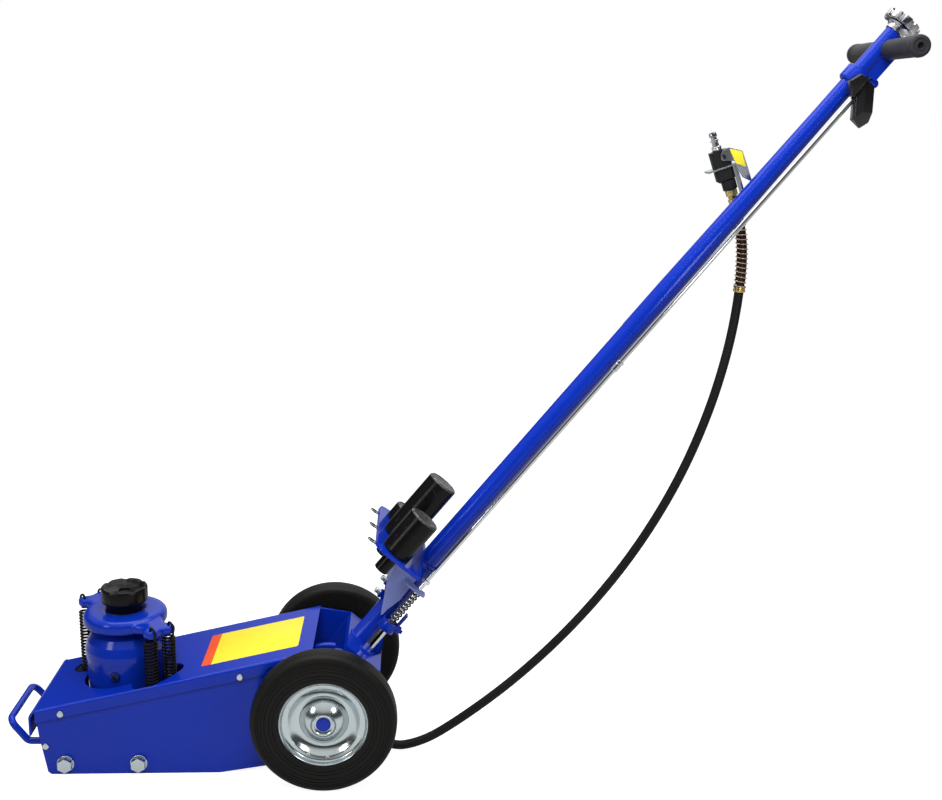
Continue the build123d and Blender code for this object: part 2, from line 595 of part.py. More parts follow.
def build_ram():
    bottom = BLOCK_TOP + PISTON_LIFT
    top = PLATE_Z + PLATE_T
    ram = rod((0, 0, bottom), UP, PISTON_T, BARREL_BORE - RUN_FIT)
    ram += rod((0, 0, bottom + PISTON_T), UP, top - bottom - PISTON_T, RAM_R)
    ram += rod((0, 0, top), UP, SADDLE_SPIGOT_H, SADDLE_SPIGOT_R)
    pieces["ram"] = ram
    ring = rod((0, 0, PLATE_Z), UP, PLATE_T, PLATE_R)
    ring = fillet(ring.edges().filter_by(GeomType.CIRCLE).sort_by(Axis.Z)[-1], 9.0)
    ring = fillet(ring.edges().filter_by(GeomType.CIRCLE).sort_by(Axis.Z)[0], 4.0)
    ear_z = PLATE_Z + EAR_RISE
    for angle in (EAR_ANGLE, EAR_ANGLE + 180):
        ear = block((PLATE_R - EAR_ROOT, EAR_REACH), (-EAR_W / 2, EAR_W / 2), (ear_z, ear_z + EAR_T))
        tips = ear.edges().filter_by(Axis.Z).sort_by(Axis.X)[-2:]
        ear = fillet(tips, EAR_CORNER)
        ear -= rod((EAR_DIP_X, 0, ear_z), UP, EAR_T, EAR_DIP_R)
        for side in (-1, 1):
            ear -= rod((WAIST_AT[0], side * WAIST_AT[1], ear_z), UP, EAR_T, WAIST_R)
        ring += Rot(0, 0, angle) * ear
    ring -= rod((0, 0, PLATE_Z), UP, PLATE_T, RAM_R)
    places = [polar(SPRING_RING_R, EAR_ANGLE + turn + side)
              for turn in (0, 180) for side in (-SPRING_SPREAD, SPRING_SPREAD)]
    springs = []
    for x, y, _ in places:
        ring -= rod((x, y, ear_z), UP, EAR_T, SPRING_WIRE_R + LOOSE_FIT)
        coil_start = BLOCK_TOP + SPRING_TAIL
        hook_top = ear_z + EAR_T - THROUGH
        coil = rod((x, y, coil_start), UP, SPRING_COIL_TOP - coil_start, SPRING_R)
        coil += rod((x, y, BLOCK_TOP), UP, SPRING_TAIL, SPRING_WIRE_R)
        coil += rod((x, y, SPRING_COIL_TOP), UP, hook_top - SPRING_COIL_TOP, SPRING_WIRE_R)
        springs.append(coil)
    pieces["spring_plate"] = ring
    pieces["return_springs"] = Compound(springs)

    low = top + FACE_GAP
    neck = low + SADDLE_NECK_H
    dish = SADDLE_TOP - SADDLE_DISH_DEPTH
    saddle = turned([(0, low), (SADDLE_NECK_R, low), (SADDLE_NECK_R, neck), (SADDLE_R - 1.5, neck + 2),
                     (SADDLE_R, SADDLE_TOP - 3), (SADDLE_R - 3, SADDLE_TOP), (SADDLE_DISH_R, SADDLE_TOP),
                     (SADDLE_DISH_R - 3, dish), (0, dish)])
    for groove in range(GROOVE_COUNT):
        turn = groove * 360 / GROOVE_COUNT
        saddle -= rod(polar(SADDLE_R + 7.5, turn, SADDLE_TOP + THROUGH), polar(-1, turn), GROOVE_LENGTH,
                      GROOVE_R)
    saddle -= rod((0, 0, top), UP, SADDLE_SPIGOT_H + LOOSE_FIT, SADDLE_SPIGOT_R + RUN_FIT)
    pieces["saddle"] = saddle


# ---- wheels ----
def build_wheel():
    half = TYRE_W / 2
    tread = AXLE_Z
    floor = HUB_REACH - HUB_RECESS_DEPTH
    tyre = [(RIM_R, -half + 3), (RIM_R + 4, -half), (tread - 6, -half), (tread - 1.5, -half + 5), (tread, 0),
            (tread - 1.5, half - 5), (tread - 6, half), (RIM_R + 4, half), (RIM_R, half - 3)]
    rim = [(RIM_R, -half + 3), (RIM_R, half - 4.8), (57, half - 4.8), (55, half - 8), (48, half - 9),
           (36, half - 13), (33, half - 13), (26, half - 7), (HUB_R, half - 4.5), (HUB_R, HUB_REACH),
           (HUB_RECESS_R, HUB_REACH), (HUB_RECESS_R, floor), (AXLE_R + RUN_FIT, floor),
           (AXLE_R + RUN_FIT, -half), (HUB_R, -half),
           (HUB_R, half - 8), (26, half - 10), (33, half - 16), (36, half - 16), (49, half - 12),
           (56, half - 12), (57.5, half - 14), (57.5, -half + 3)]
    place = Plane(origin=(AXLE_X, WHEEL_Y, AXLE_Z), x_dir=BACK, z_dir=RIGHT)
    for name, profile in (("tyre", tyre), ("rim", rim)):
        piece = place * turned(profile)
        pieces["right_" + name] = piece
        pieces["left_" + name] = mirrored(piece)


# ---- handle: everything below is built in handle axes (S, Y, N) and then set in place ----
def on_handle(name, piece):
    pieces[name] = HANDLE * piece


def build_yoke():
    web = block((WEB_S, WEB_S + WEB_T), (-CHEEK_INNER - CHEEK_T, CHEEK_INNER + CHEEK_T), (WEB_LOW, WEB_HIGH))
    yoke = web
    for side in (-1, 1):
        y = (side * CHEEK_INNER, side * (CHEEK_INNER + CHEEK_T))
        cheek = plate([(0, -CHEEK_R), (WEB_S, WEB_LOW), (WEB_S, WEB_HIGH), (0, CHEEK_R)], y)
        cheek += rod((0, min(y), 0), RIGHT, CHEEK_T, CHEEK_R)
        yoke += cheek - rod((0, min(y), 0), RIGHT, CHEEK_T, AXLE_R + RUN_FIT)
    yoke += rod((WEB_S + WEB_T, 0, TUBE_N), BACK, POST_END - WEB_S - WEB_T, POST_R)
    yoke += plate([(WEB_S + WEB_T, WEB_LOW + 1), (CUP_S - 4, -POST_R + TUBE_N), (WEB_S + WEB_T, 0)], (-4, 4))
    yoke += rod((WEB_S + WEB_T, LATCH_Y, LATCH_N), BACK, RING_BOSS_T, PIN_R + RING_BOSS_WALL)
    yoke -= rod((WEB_S, LATCH_Y, LATCH_N), BACK, WEB_T + RING_BOSS_T, PIN_R + RUN_FIT)
    yoke -= rod((WEB_S, 0, TUBE_N), BACK, POST_END - WEB_S, RELEASE_ROD_R + POST_BORE_GAP)
    yoke -= rod((LOWER_TUBE_START, 0, TUBE_N), BACK, POST_END - LOWER_TUBE_START, LOWER_TUBE_R)
    on_handle("handle_yoke", yoke)


def build_bracket():
    inner = POST_R + BRACKET_GAP
    outline = [(131, 12), (177, 38), (207, 45), (209, 7), (166, 5), (144, 9.9), (133.5, 10.2)]
    bracket = plate(outline, (-inner - BRACKET_T, inner + BRACKET_T))
    start = outline[0][0] - THROUGH
    length = POST_END - start
    bracket -= block((start, start + length), (-inner, inner), (0, BRACKET_FLOOR_N))
    bracket -= rod((start, 0, TUBE_N), BACK, length, POST_R)
    seat = block((SEAT_S, SEAT_S + SEAT_T), (LATCH_Y - 9, -inner - 1), (LATCH_N - 12, TUBE_N + 12))
    bracket += fillet(seat.edges().filter_by(Axis.X).sort_by(Axis.Y)[:2], SEAT_CORNER)
    bracket -= rod((SEAT_S, LATCH_Y, LATCH_N), BACK, SEAT_T, LATCH_ROD_R + RUN_FIT)
    bolts = []
    for s, tip in BRACKET_BOLTS:
        foot = (s, 0, TUBE_N + POST_R)
        bolt = rod(foot, UP, tip - TUBE_N - POST_R, BRACKET_BOLT_R)
        bracket -= bolt
        bolts.append(bolt + hexagon((s, 0, tip), UP, BRACKET_NUT_T, BRACKET_NUT_AF))
    on_handle("handle_bracket", bracket)
    on_handle("bracket_bolts", Compound(bolts))


UPPER_STATIONS = [(SEAM_S, UPPER_TUBE_R), (TAPER_START, UPPER_TUBE_R), (TAPER_END, TOP_TUBE_R),
                  (TUBE_TOP, TOP_TUBE_R)]


def upper_tube(wall=None):
    """The tapering upper tube, or its solid outside when no wall is given."""
    profile = [(r, s) for s, r in UPPER_STATIONS]
    if wall:
        profile += [(r - wall, s) for s, r in UPPER_STATIONS[::-1]]
    else:
        profile += [(0, TUBE_TOP), (0, SEAM_S)]
    return Plane(origin=(0, 0, TUBE_N), z_dir=BACK) * turned(profile)


def build_tubes():
    lower = rod((LOWER_TUBE_START, 0, TUBE_N), BACK, SEAM_S - LOWER_TUBE_START, LOWER_TUBE_R,
                LOWER_TUBE_R - TUBE_WALL)
    on_handle("lower_tube", lower)
    on_handle("upper_tube", upper_tube(TUBE_WALL))


def build_tray():
    tray = block((TRAY_S, TRAY_S + TRAY_T), (-TRAY_HALF, TRAY_HALF), (TRAY_LOW, TRAY_HIGH))
    corners = tray.edges().filter_by(Axis.X).sort_by(Axis.Z)[-2:]
    tray = fillet(corners, TRAY_CORNER)
    rise = TRAY_S + FLANGE_RISE
    flange = [(-TRAY_HALF, TRAY_S), (TRAY_HALF, TRAY_S), (TRAY_HALF, TRAY_S + TRAY_T), (FLANGE_HALF, rise),
              (-FLANGE_HALF, rise), (-TRAY_HALF, TRAY_S + TRAY_T)]
    face = make_face(Polyline(*[(s, y) for y, s in flange], close=True))
    tray += Pos(0, 0, TRAY_LOW) * extrude(face, amount=FLANGE_T)
    neck = POST_R + TRAY_NECK
    tray += block((TRAY_S, TRAY_S + TRAY_T), (-neck, neck), (TUBE_N, TRAY_LOW))
    tray -= rod((TRAY_S, 0, TUBE_N), BACK, FLANGE_RISE, LOWER_TUBE_R)
    clips = []
    for name, (y, top, radius) in ADAPTER_TOPS.items():
        tray -= rod((TRAY_S, y, ADAPTER_N), BACK, TRAY_T, SPIGOT_R)
        body = rod((TRAY_S + TRAY_T, y, ADAPTER_N), BACK, top - TRAY_S - TRAY_T, radius)
        rim = body.edges().filter_by(GeomType.CIRCLE).sort_by(Axis.X)[-1]
        body = chamfer(rim, ADAPTER_EDGE)
        body -= rod((top - ADAPTER_DISH, y, ADAPTER_N), BACK, ADAPTER_DISH, radius - ADAPTER_RIM)
        body += rod((SPIGOT_END, y, ADAPTER_N), BACK, TRAY_S + TRAY_T - SPIGOT_END, SPIGOT_R)
        clip_s = TRAY_S - CLIP_GAP
        body -= rod((clip_s, y, ADAPTER_N - CLIP_TAIL), UP, 2 * CLIP_TAIL, CLIP_R)
        on_handle(name, body)
        route = [(clip_s, y, ADAPTER_N - CLIP_TAIL), (clip_s, y, TRAY_HIGH + 8),
                 (clip_s, y + 7, TRAY_HIGH + 12), (clip_s, y + 10, TRAY_HIGH + 3)]
        clip, _ = tube_along(route, CLIP_R, [4.0, 4.0])
        clips.append(clip)
    on_handle("adapter_clips", Compound(clips))
    on_handle("adapter_tray", tray)


def build_head():
    bar_end = GRIP_END - GRIP_CAP_T
    bar = rod((CROSSBAR_S, -bar_end, 0), RIGHT, 2 * bar_end, CROSSBAR_R)
    bar += block((COLLAR_S[1] + THROUGH, CROSSBAR_S), (-GUSSET_HALF, GUSSET_HALF), GUSSET_N)
    bar += rod((COLLAR_S[1] - THROUGH, -LUG_R, LUG_N), RIGHT, 2 * LUG_R, LUG_R)
    bar -= rod((COLLAR_S[1], 0, TUBE_N), BACK, TUBE_TOP - COLLAR_S[1], TOP_TUBE_R)
    on_handle("handle_crossbar", bar)
    grip = rod((CROSSBAR_S, GRIP_START, 0), RIGHT, GRIP_END - GRIP_START, GRIP_R)
    grip = fillet(grip.edges().filter_by(GeomType.CIRCLE), GRIP_EDGE)
    grip -= rod((CROSSBAR_S, GRIP_START, 0), RIGHT, bar_end - GRIP_START, CROSSBAR_R)
    grip -= rod((CROSSBAR_S, GRIP_START, 0), RIGHT, GRIP_END, GRIP_HOLE_R)
    on_handle("hand_grips", Compound([grip, mirrored(grip)]))

    start = COLLAR_S[0]
    collar = rod((start, 0, TUBE_N), BACK, COLLAR_S[1] - start, COLLAR_R, TOP_TUBE_R)
    collar = chamfer(collar.edges().filter_by(GeomType.CIRCLE).sort_by(SortBy.RADIUS)[-2:], 2.0)
    near = TRIGGER_Y[0]
    tip = near - FACE_GAP - STUD_HEAD_T
    stud = rod((TRIGGER_S, tip, TRIGGER_N), RIGHT, STUD_ROOT - COLLAR_R - tip, PIVOT_R)
    stud += rod((TRIGGER_S, tip, TRIGGER_N), RIGHT, STUD_HEAD_T, STUD_HEAD_R)
    on_handle("trigger_bracket", collar + stud)

    nut = hexagon((TUBE_TOP, 0, TUBE_N), BACK, HUB_NUT_T, HUB_NUT_AF)
    on_handle("hub_nut", nut - rod((TUBE_TOP, 0, TUBE_N), BACK, HUB_NUT_T, RELEASE_ROD_R + RUN_FIT))
    hub_top = TUBE_TOP + HUB_NUT_T
    on_handle("release_rod", rod((ROD_FOOT_S, 0, TUBE_N), BACK, hub_top - ROD_FOOT_S, RELEASE_ROD_R))
    knob_s = hub_top + FACE_GAP
    knob = Circle(KNOB_R - KNOB_WEB)
    for lobe in range(KNOB_LOBES):
        knob += Pos(*polar(KNOB_R - LOBE_R, lobe * 360 / KNOB_LOBES)) * Circle(LOBE_R)
    knob = extrude(knob, amount=KNOB_T)
    knob = chamfer(knob.faces().sort_by(Axis.Z)[-1].edges(), 1.5)
    knob += rod((0, 0, -FACE_GAP), UP, FACE_GAP, RELEASE_ROD_R)
    on_handle("release_knob", Plane(origin=(knob_s, 0, TUBE_N), x_dir=RIGHT, z_dir=BACK) * knob)


def build_latch():
    pin = rod((PIN_TIP_S, LATCH_Y, LATCH_N), BACK, CUP_S - PIN_TIP_S, PIN_R)
    pin = chamfer(pin.edges().filter_by(GeomType.CIRCLE).sort_by(Axis.X)[0], 1.2)
    on_handle("latch_pin", pin)
    cup = rod((CUP_S, LATCH_Y, LATCH_N), BACK, CUP_H, CUP_R)
    cup -= rod((CUP_S + CUP_T, LATCH_Y, LATCH_N), BACK, CUP_H, CUP_R - CUP_WALL)
    low = LATCH_N - CUP_R
    tab_y = (LATCH_Y - CUP_TAB_HALF, LATCH_Y + CUP_TAB_HALF)
    cup += block((CUP_S + CUP_T, CUP_S + CUP_TAB_TOP), tab_y, (low, low + CUP_TAB_T))
    cup += hexagon((CUP_S + CUP_BOLT_S, LATCH_Y, low + 1), DOWN, 6.5, 11.0)
    cup += rod((CUP_S + CUP_BOLT_S, LATCH_Y, low - 4), DOWN, 5.5, 3.0)
    cup -= rod((CUP_S, LATCH_Y, LATCH_N), BACK, CUP_T, LATCH_ROD_R)
    on_handle("latch_cup", cup)
    latch_rod = rod((CUP_S, LATCH_Y, LATCH_N), BACK, LATCH_ROD_TOP - CUP_S, LATCH_ROD_R)
    latch_rod += hexagon((ROD_NUT_S, LATCH_Y, LATCH_N), BACK, 5.0, 11.0)
    on_handle("latch_rod", latch_rod)
    spring_s = CUP_S + CUP_T
    on_handle("latch_spring", rod((spring_s, LATCH_Y, LATCH_N), BACK, SEAT_S - spring_s, LATCH_SPRING_R,
                                  LATCH_ROD_R + 1))
    outline = [(-15, 7), (3, 5), (8, -14), (0, -30), (-22, -47), (-40, -48), (-43, -34), (-25, -9)]
    trigger = plate(outline, TRIGGER_Y, corner=3.0)
    near, far = TRIGGER_Y
    trigger -= block((-50, -4), (near + TRIGGER_CHEEK + 1.5, far - TRIGGER_CHEEK + 1), (-43, -2))
    trigger -= rod((0, near - THROUGH, 0), RIGHT, 4 * TRIGGER_HALF, PIVOT_R + RUN_FIT)
    on_handle("trigger_lever", Pos(TRIGGER_S, 0, TRIGGER_N) * trigger)


# ---- air valve: built in its own axes (across, Y, along) ----
def on_valve(name, piece):
    pieces[name] = VALVE * piece


def build_valve():
    fitting = hexagon((0, 0, 0), UP, FITTING_H, FITTING_AF)
    on_valve("valve_fitting", fitting)
    body = rod((0, 0, FITTING_H), UP, VALVE_NECK_H, VALVE_NECK_R)
    case = block(CASE_ACROSS, (-CASE_HALF, CASE_HALF), CASE_ALONG)
    case = chamfer(case.edges().filter_by(Axis.Z), 4.0)
    case = chamfer(case.faces().sort_by(Axis.Z)[0].edges(), 3.0)
    body += case
    pocket = (PLUNGER_POCKET, PLUNGER_Y, PLUNGER_ALONG)
    body -= rod(pocket, BACK, CASE_ACROSS[1] + THROUGH - PLUNGER_POCKET, VALVE_PLUNGER_R + RUN_FIT)
    pivot = rod((0, -CASE_HALF - 3.2, LEVER_PIVOT), RIGHT, 3.4, LEVER_PIN_R)
    pivot += rod((0, -CASE_HALF - 4, LEVER_PIVOT), RIGHT, 1, LEVER_PIN_R + 1.5)
    on_valve("valve_body", body + pivot)
    nipple = turned([(0, 0), (6.5, 0), (6.5, 7), (4.5, 8), (4.5, 13), (6, 14.5), (6, 18), (4.6, 19.5),
                     (4.6, 26), (0, 26)])
    on_valve("air_nipple", Pos(NIPPLE_ACROSS, 0, CASE_ALONG[1]) * nipple)
    tube_there = VALVE.location.inverse() * (HANDLE * upper_tube())
    strap_top = STRAP_AT + STRAP_T
    strap = block((STRAP_REACH, STRAP_LEG[1]), (-CASE_HALF, 13), (STRAP_AT, strap_top))
    strap += block((STRAP_REACH, STRAP_BAR_END), (-CASE_HALF - STRAP_T, -CASE_HALF), (STRAP_AT, strap_top))
    strap += block(STRAP_LEG, (-CASE_HALF, 10), (0, strap_top))
    strap += block((STRAP_LEG[0], 22), (-17, -9), (0, 14))
    on_valve("valve_strap", strap - case - tube_there)
    near = -CASE_HALF - LEVER_GAP
    outline = [(-4, 64), (2, 74), (13, 76), (27, 67), (29, 22), (18, 32), (13, 56)]
    lever = plate(outline, (near - LEVER_T, near))
    lever += block((13, 13 + LEVER_T), (near - LEVER_T, 4), (LEVER_FOOT, 66))
    lever -= rod((0, near - LEVER_T - THROUGH, LEVER_PIVOT), RIGHT, 2 * LEVER_T, LEVER_PIN_R + RUN_FIT)
    on_valve("valve_lever", lever)
    on_valve("valve_plunger", rod((1.5, PLUNGER_Y, PLUNGER_ALONG), BACK, 11.3, VALVE_PLUNGER_R))


def build_hose():
    radii = turn_radii(HOSE_POINTS)
    hose, path = tube_along(HOSE_POINTS, HOSE_R, radii)
    pieces["air_hose"] = hose
    print("hose radii", [round(r) for r in radii])
    print("hose length", round(path.length, 1), "volume", round(hose.volume),
          "section x length", round(pi * HOSE_R ** 2 * path.length))
    start = Vector(*HOSE_POINTS[-4]) * 0.45 + Vector(*HOSE_POINTS[-3]) * 0.55
    guard_points = [tuple(start)] + HOSE_POINTS[-3:]
    guard, _ = tube_along(guard_points, HOSE_R + GUARD_T, radii[-2:], HOSE_R + FACE_GAP)
    pieces["hose_guard"] = guard
    inlet = rod(tuple(INLET_AT), tuple(HOSE_OUT), INLET_NOSE, INLET_R)
    cap = MOTOR_END + MOTOR_CAP_T
    route = [(cap, PIPE_Y, MOTOR_Z), (cap + PIPE_STRAIGHT, PIPE_Y, MOTOR_Z),
             (CHASSIS_REAR - PIPE_END, INLET_AT.Y, INLET_AT.Z), tuple(INLET_AT)]
    for here, there in zip(route, route[1:]):
        run = Vector(*there) - Vector(*here)
        inlet += rod(here, tuple(run), run.length, PIPE_R)
    shank = CHASSIS_REAR - INLET_SHANK
    inlet += rod((shank, INLET_AT.Y, INLET_AT.Z), BACK, INLET_AT.X - shank, INLET_R)
    pieces["hose_inlet"] = inlet


def build_universal_joint():
    """Two forks and a short link, drawn as they stand with the handle where it is stored."""
    start = (RELEASE_START + RELEASE_LENGTH, 0, AXLE_Z)
    end = HANDLE.from_local_coords(Vector(ROD_FOOT_S, 0, TUBE_N))
    below = TUBE_N / tan(radians(HANDLE_ANGLE))
    knee = tuple(HANDLE.from_local_coords(Vector(-below, 0, TUBE_N)))
    fork = rod(start, BACK, FORK_LENGTH, FORK_R)
    other = HANDLE * rod((ROD_FOOT_S, 0, TUBE_N), (-1, 0, 0), ROD_FORK_LENGTH, ROD_FORK_R)
    link, _ = tube_along([start, knee, tuple(end)], LINK_R, [LINK_BEND])
    pieces["release_joint"] = fork + link + other


build_chassis()
build_axle()
build_hydraulics()
build_ram()
build_wheel()
build_yoke()
build_bracket()
build_tubes()
build_tray()
build_head()
build_latch()
build_valve()
build_hose()
build_universal_joint()

for name, piece in pieces.items():
    export_step(piece, f"parts/{name}.step")
print(len(pieces), "pieces")
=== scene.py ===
# %% [markdown]
# # An air hydraulic trolley jack
# The jack stands on a pale studio floor: a folded steel chassis on two wheels, a squat ram with
# a saddle, and a long swinging handle that carries the trigger, the release knob and the air
# valve. This file gives each part its finish and models what a plain solid can't show: the
# hose, the springs, the tyres, the pressed rims, the castings and the grips.

# %% Load the frame
import json
import math
from contextlib import contextmanager
import bpy
from mathutils import Matrix, Vector

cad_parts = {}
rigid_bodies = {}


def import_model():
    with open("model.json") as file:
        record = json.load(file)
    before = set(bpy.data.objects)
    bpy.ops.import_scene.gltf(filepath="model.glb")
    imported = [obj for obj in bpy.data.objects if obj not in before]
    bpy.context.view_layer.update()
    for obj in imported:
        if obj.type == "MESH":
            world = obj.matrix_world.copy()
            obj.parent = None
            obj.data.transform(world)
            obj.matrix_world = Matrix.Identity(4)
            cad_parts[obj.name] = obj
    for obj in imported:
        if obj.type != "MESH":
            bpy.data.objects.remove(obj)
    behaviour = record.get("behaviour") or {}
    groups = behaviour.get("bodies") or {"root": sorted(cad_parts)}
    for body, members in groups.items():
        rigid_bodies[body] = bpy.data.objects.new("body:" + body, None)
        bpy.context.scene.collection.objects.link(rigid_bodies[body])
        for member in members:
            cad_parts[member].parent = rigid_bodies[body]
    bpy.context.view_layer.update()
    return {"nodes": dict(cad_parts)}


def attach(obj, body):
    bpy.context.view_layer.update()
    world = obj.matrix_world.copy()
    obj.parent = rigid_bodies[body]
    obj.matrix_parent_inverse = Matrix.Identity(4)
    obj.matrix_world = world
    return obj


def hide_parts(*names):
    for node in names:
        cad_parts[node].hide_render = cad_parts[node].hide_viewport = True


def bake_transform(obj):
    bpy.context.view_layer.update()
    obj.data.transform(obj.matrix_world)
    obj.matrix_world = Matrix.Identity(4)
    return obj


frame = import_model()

nodes = frame["nodes"]
print("parts in the frame:", len(nodes))

# %% [markdown]
# Three places are used again and again: the wheel axle, the handle's own axes, and the air
# valve's own axes. The handle leans 50.31 degrees from the ground, S runs up it from the axle,
# and N is square to it on its upper side. Points could be typed in as world coordinates, but on a
# leaning handle a distance up it is far easier to read and to change.

# %% Named places
MM = 0.001
MERGE = 0.01 * MM
axle = Vector((290.3, 0, 100.0)) * MM
lean = math.radians(50.31)
up_handle = Vector((math.cos(lean), 0, math.sin(lean)))
off_handle = Vector((-math.sin(lean), 0, math.cos(lean)))
tube_n = 8.0
latch_y = -27.0
latch_n = -3.5
valve_foot = Vector((852.0, 27.0, 793.0)) * MM
up_valve = Vector((-12.0, 0, 34.0)).normalized()
off_valve = Vector((up_valve.z, 0, -up_valve.x))


def on_handle(s, y, n):
    """A point of the handle, from millimetres up it, across it and off it."""
    return axle + (up_handle * s + off_handle * n) * MM + Vector((0, y * MM, 0))


def on_valve(across, y, along):
    """A point of the air valve, in millimetres across, sideways and along it."""
    return valve_foot + (off_valve * across + up_valve * along) * MM + Vector((0, y * MM, 0))


def frame_of(origin, z_axis, x_axis):
    """The matrix that stands a piece modelled about the origin in its place."""
    z = z_axis.normalized()
    x = (x_axis - z * x_axis.dot(z)).normalized()
    turn = Matrix((x, z.cross(x), z)).transposed().to_4x4()
    return Matrix.Translation(origin) @ turn


right = Vector((0, 1, 0))
handle_frame = frame_of(on_handle(0, 0, tube_n), up_handle, right)
latch_frame = frame_of(on_handle(0, latch_y, latch_n), up_handle, right)
valve_frame = frame_of(valve_foot, up_valve, off_valve)
print("handle leans:", round(math.degrees(lean), 2), "degrees")

# %% [markdown]
# The camera stands a little to the right of the jack's middle, at about a person's waist, and
# looks down on it. A 48 mm lens from 1.9 m keeps the long handle in view without stretching
# the near wheel.

# %% Camera
def add_to_scene(thing):
    """Puts a new object in the scene."""
    bpy.context.scene.collection.objects.link(thing)
    return thing


camera_data = bpy.data.cameras.new("studio_camera")
camera_data.lens = 47.77
camera_data.sensor_width = 36.0
camera = add_to_scene(bpy.data.objects.new("studio_camera", camera_data))
camera.matrix_world = (Matrix.Translation((0.4097, -1.6959, 0.9081))
                       @ Matrix.Rotation(-0.0477, 4, "Z")
                       @ Matrix.Rotation(math.pi / 2 - 0.2247, 4, "X")
                       @ Matrix.Rotation(0.0142, 4, "Z"))
bpy.context.scene.camera = camera
print("camera lens:", camera_data.lens, "mm")

# %% [markdown]
# Painted steel shows its shape through its reflections. One large panel hangs above, and a long
# panel parallel to the handle is the main light. The long panel is left out of reflections, so
# it fills the blue without a white streak. Two windows, one to either side, put a pair of
# highlights on every dome.

# %% Studio
def panel_light(name, place, aim, size, power, along=(0, 1, 0), mirrored=True):
    """A soft rectangular lamp: size is its length along a direction, then its width."""
    lamp = bpy.data.lights.new(name, "AREA")
    lamp.shape = "RECTANGLE"
    lamp.size, lamp.size_y = size
    lamp.energy = power
    holder = add_to_scene(bpy.data.objects.new(name, lamp))
    holder.matrix_world = frame_of(Vector(place), Vector(place) - Vector(aim), Vector(along))
    holder.visible_glossy = mirrored
    print(name, power, "W")


panel_light("top_panel", (0.3, 0.4, 2.7), (0.4, 0.0, 0.3), (1.6, 2.6), 37)
panel_light("handle_panel", (0.35, -0.95, 1.90), (0.85, 0.0, 0.75), (1.2, 0.8), 33, up_handle,
            mirrored=False)
near_wheel = (0.29, -0.14, 0.1)
panel_light("left_window", (-0.73, -0.82, 0.78), near_wheel, (0.30, 0.38), 2.2, (1, -1, 0))
panel_light("right_window", (0.92, -0.70, 0.64), near_wheel, (0.22, 0.27), 1.1, (1, 1, 0))

# %% [markdown]
# A finish is a small network of shader nodes. It could be wired by hand in the shader editor, but
# then it can't be read at a glance. Written as Python it reads like the sum it is: a Wire wraps
# one output socket, arithmetic on wires adds Math nodes, and a Network makes any other node from
# its type, its settings and the values of its sockets. The room around the jack is such a network
# too.

# %% A small language for nodes
class Wire:
    """One output socket, with arithmetic that adds Math nodes."""

    def __init__(self, network, socket):
        self.network = network
        self.socket = socket

    def _math(self, operation, first, second):
        return self.network.node("ShaderNodeMath", {"operation": operation}, {0: first, 1: second})

    def __add__(self, other):
        return self._math("ADD", self, other)

    def __radd__(self, other):
        return self._math("ADD", other, self)

    def __sub__(self, other):
        return self._math("SUBTRACT", self, other)

    def __rsub__(self, other):
        return self._math("SUBTRACT", other, self)

    def __mul__(self, other):
        return self._math("MULTIPLY", self, other)

    def __rmul__(self, other):
        return self._math("MULTIPLY", other, self)

    def lower_than(self, other):
        return self._math("LESS_THAN", self, other)

    def out(self, name):
        """Another output of the same node."""
        return Wire(self.network, self.socket.node.outputs[name])


class Network:
    """The nodes of one material, or of the world."""

    def __init__(self, owner):
        owner.use_nodes = True
        self.tree = owner.node_tree

    def feed(self, socket, value):
        if isinstance(value, Wire):
            self.tree.links.new(value.socket, socket)
        elif isinstance(value, tuple) and len(value) == 3 and socket.type == "RGBA":
            socket.default_value = (*value, 1.0)
        else:
            socket.default_value = value

    def node(self, kind, settings=None, inputs=None, output=0):
        made = self.tree.nodes.new(kind)
        for name, value in (settings or {}).items():
            if name == "stops":
                self._stops(made.color_ramp.elements, value)
            else:
                setattr(made, name, value)
        for key, value in (inputs or {}).items():
            self.feed(made.inputs[key], value)
        return Wire(self, made.outputs[output])

    def _stops(self, elements, stops):
        while len(elements) < len(stops):
            elements.new(0.5)
        for element, (position, shade) in zip(elements, stops):
            element.position = position
            element.color = (shade, shade, shade, 1.0)

    def ramp(self, value, *stops):
        """Shades of grey between stops of (value, shade)."""
        return self.node("ShaderNodeValToRGB", {"stops": stops}, {"Fac": value})


class Finish(Network):
    """A material under construction."""

    def __init__(self, name):
        self.material = bpy.data.materials.new(name)
        super().__init__(self.material)
        self.shader = self.tree.nodes["Principled BSDF"]
        self.place = self.node("ShaderNodeTexCoord").out("Object")

    def noise(self, scale, detail=3.0, roughness=0.5, stretch=None):
        """Cloudy noise about 0.5, with its scale in cells per metre."""
        where = self.place
        if stretch:
            where = self.node("ShaderNodeMapping", None, {"Vector": where, "Scale": stretch})
        return self.node("ShaderNodeTexNoise", None, {"Vector": where, "Scale": scale,
                                                      "Detail": detail, "Roughness": roughness})

    def mix(self, amount, first, second):
        """A colour between two, by an amount from 0 to 1."""
        return self.node("ShaderNodeMix", {"data_type": "RGBA"},
                         {0: amount, 6: first, 7: second}, output=2)

    def bump(self, height, strength, distance):
        return self.node("ShaderNodeBump", None,
                         {"Height": height, "Strength": strength, "Distance": distance})

    def set(self, **sockets):
        """Feeds the shader's sockets and gives the finished material."""
        names = {"color": "Base Color", "roughness": "Roughness", "metallic": "Metallic",
                 "normal": "Normal", "specular": "Specular IOR Level", "glow": "Emission Color",
                 "glow_strength": "Emission Strength"}
        for name, value in sockets.items():
            self.feed(self.shader.inputs[names[name]], value)
        print("finish:", self.material.name)
        return self.material


# %% [markdown]
# The frame, tubes and brackets are powder coated in one deep blue. Powder coat flows out as it
# bakes, so it is glossy with a faint orange peel a few millimetres wide. Clean paint is nearly
# one colour, so the slow noise shifts the blue only a little, and the fine noise becomes a
# shallow bump.

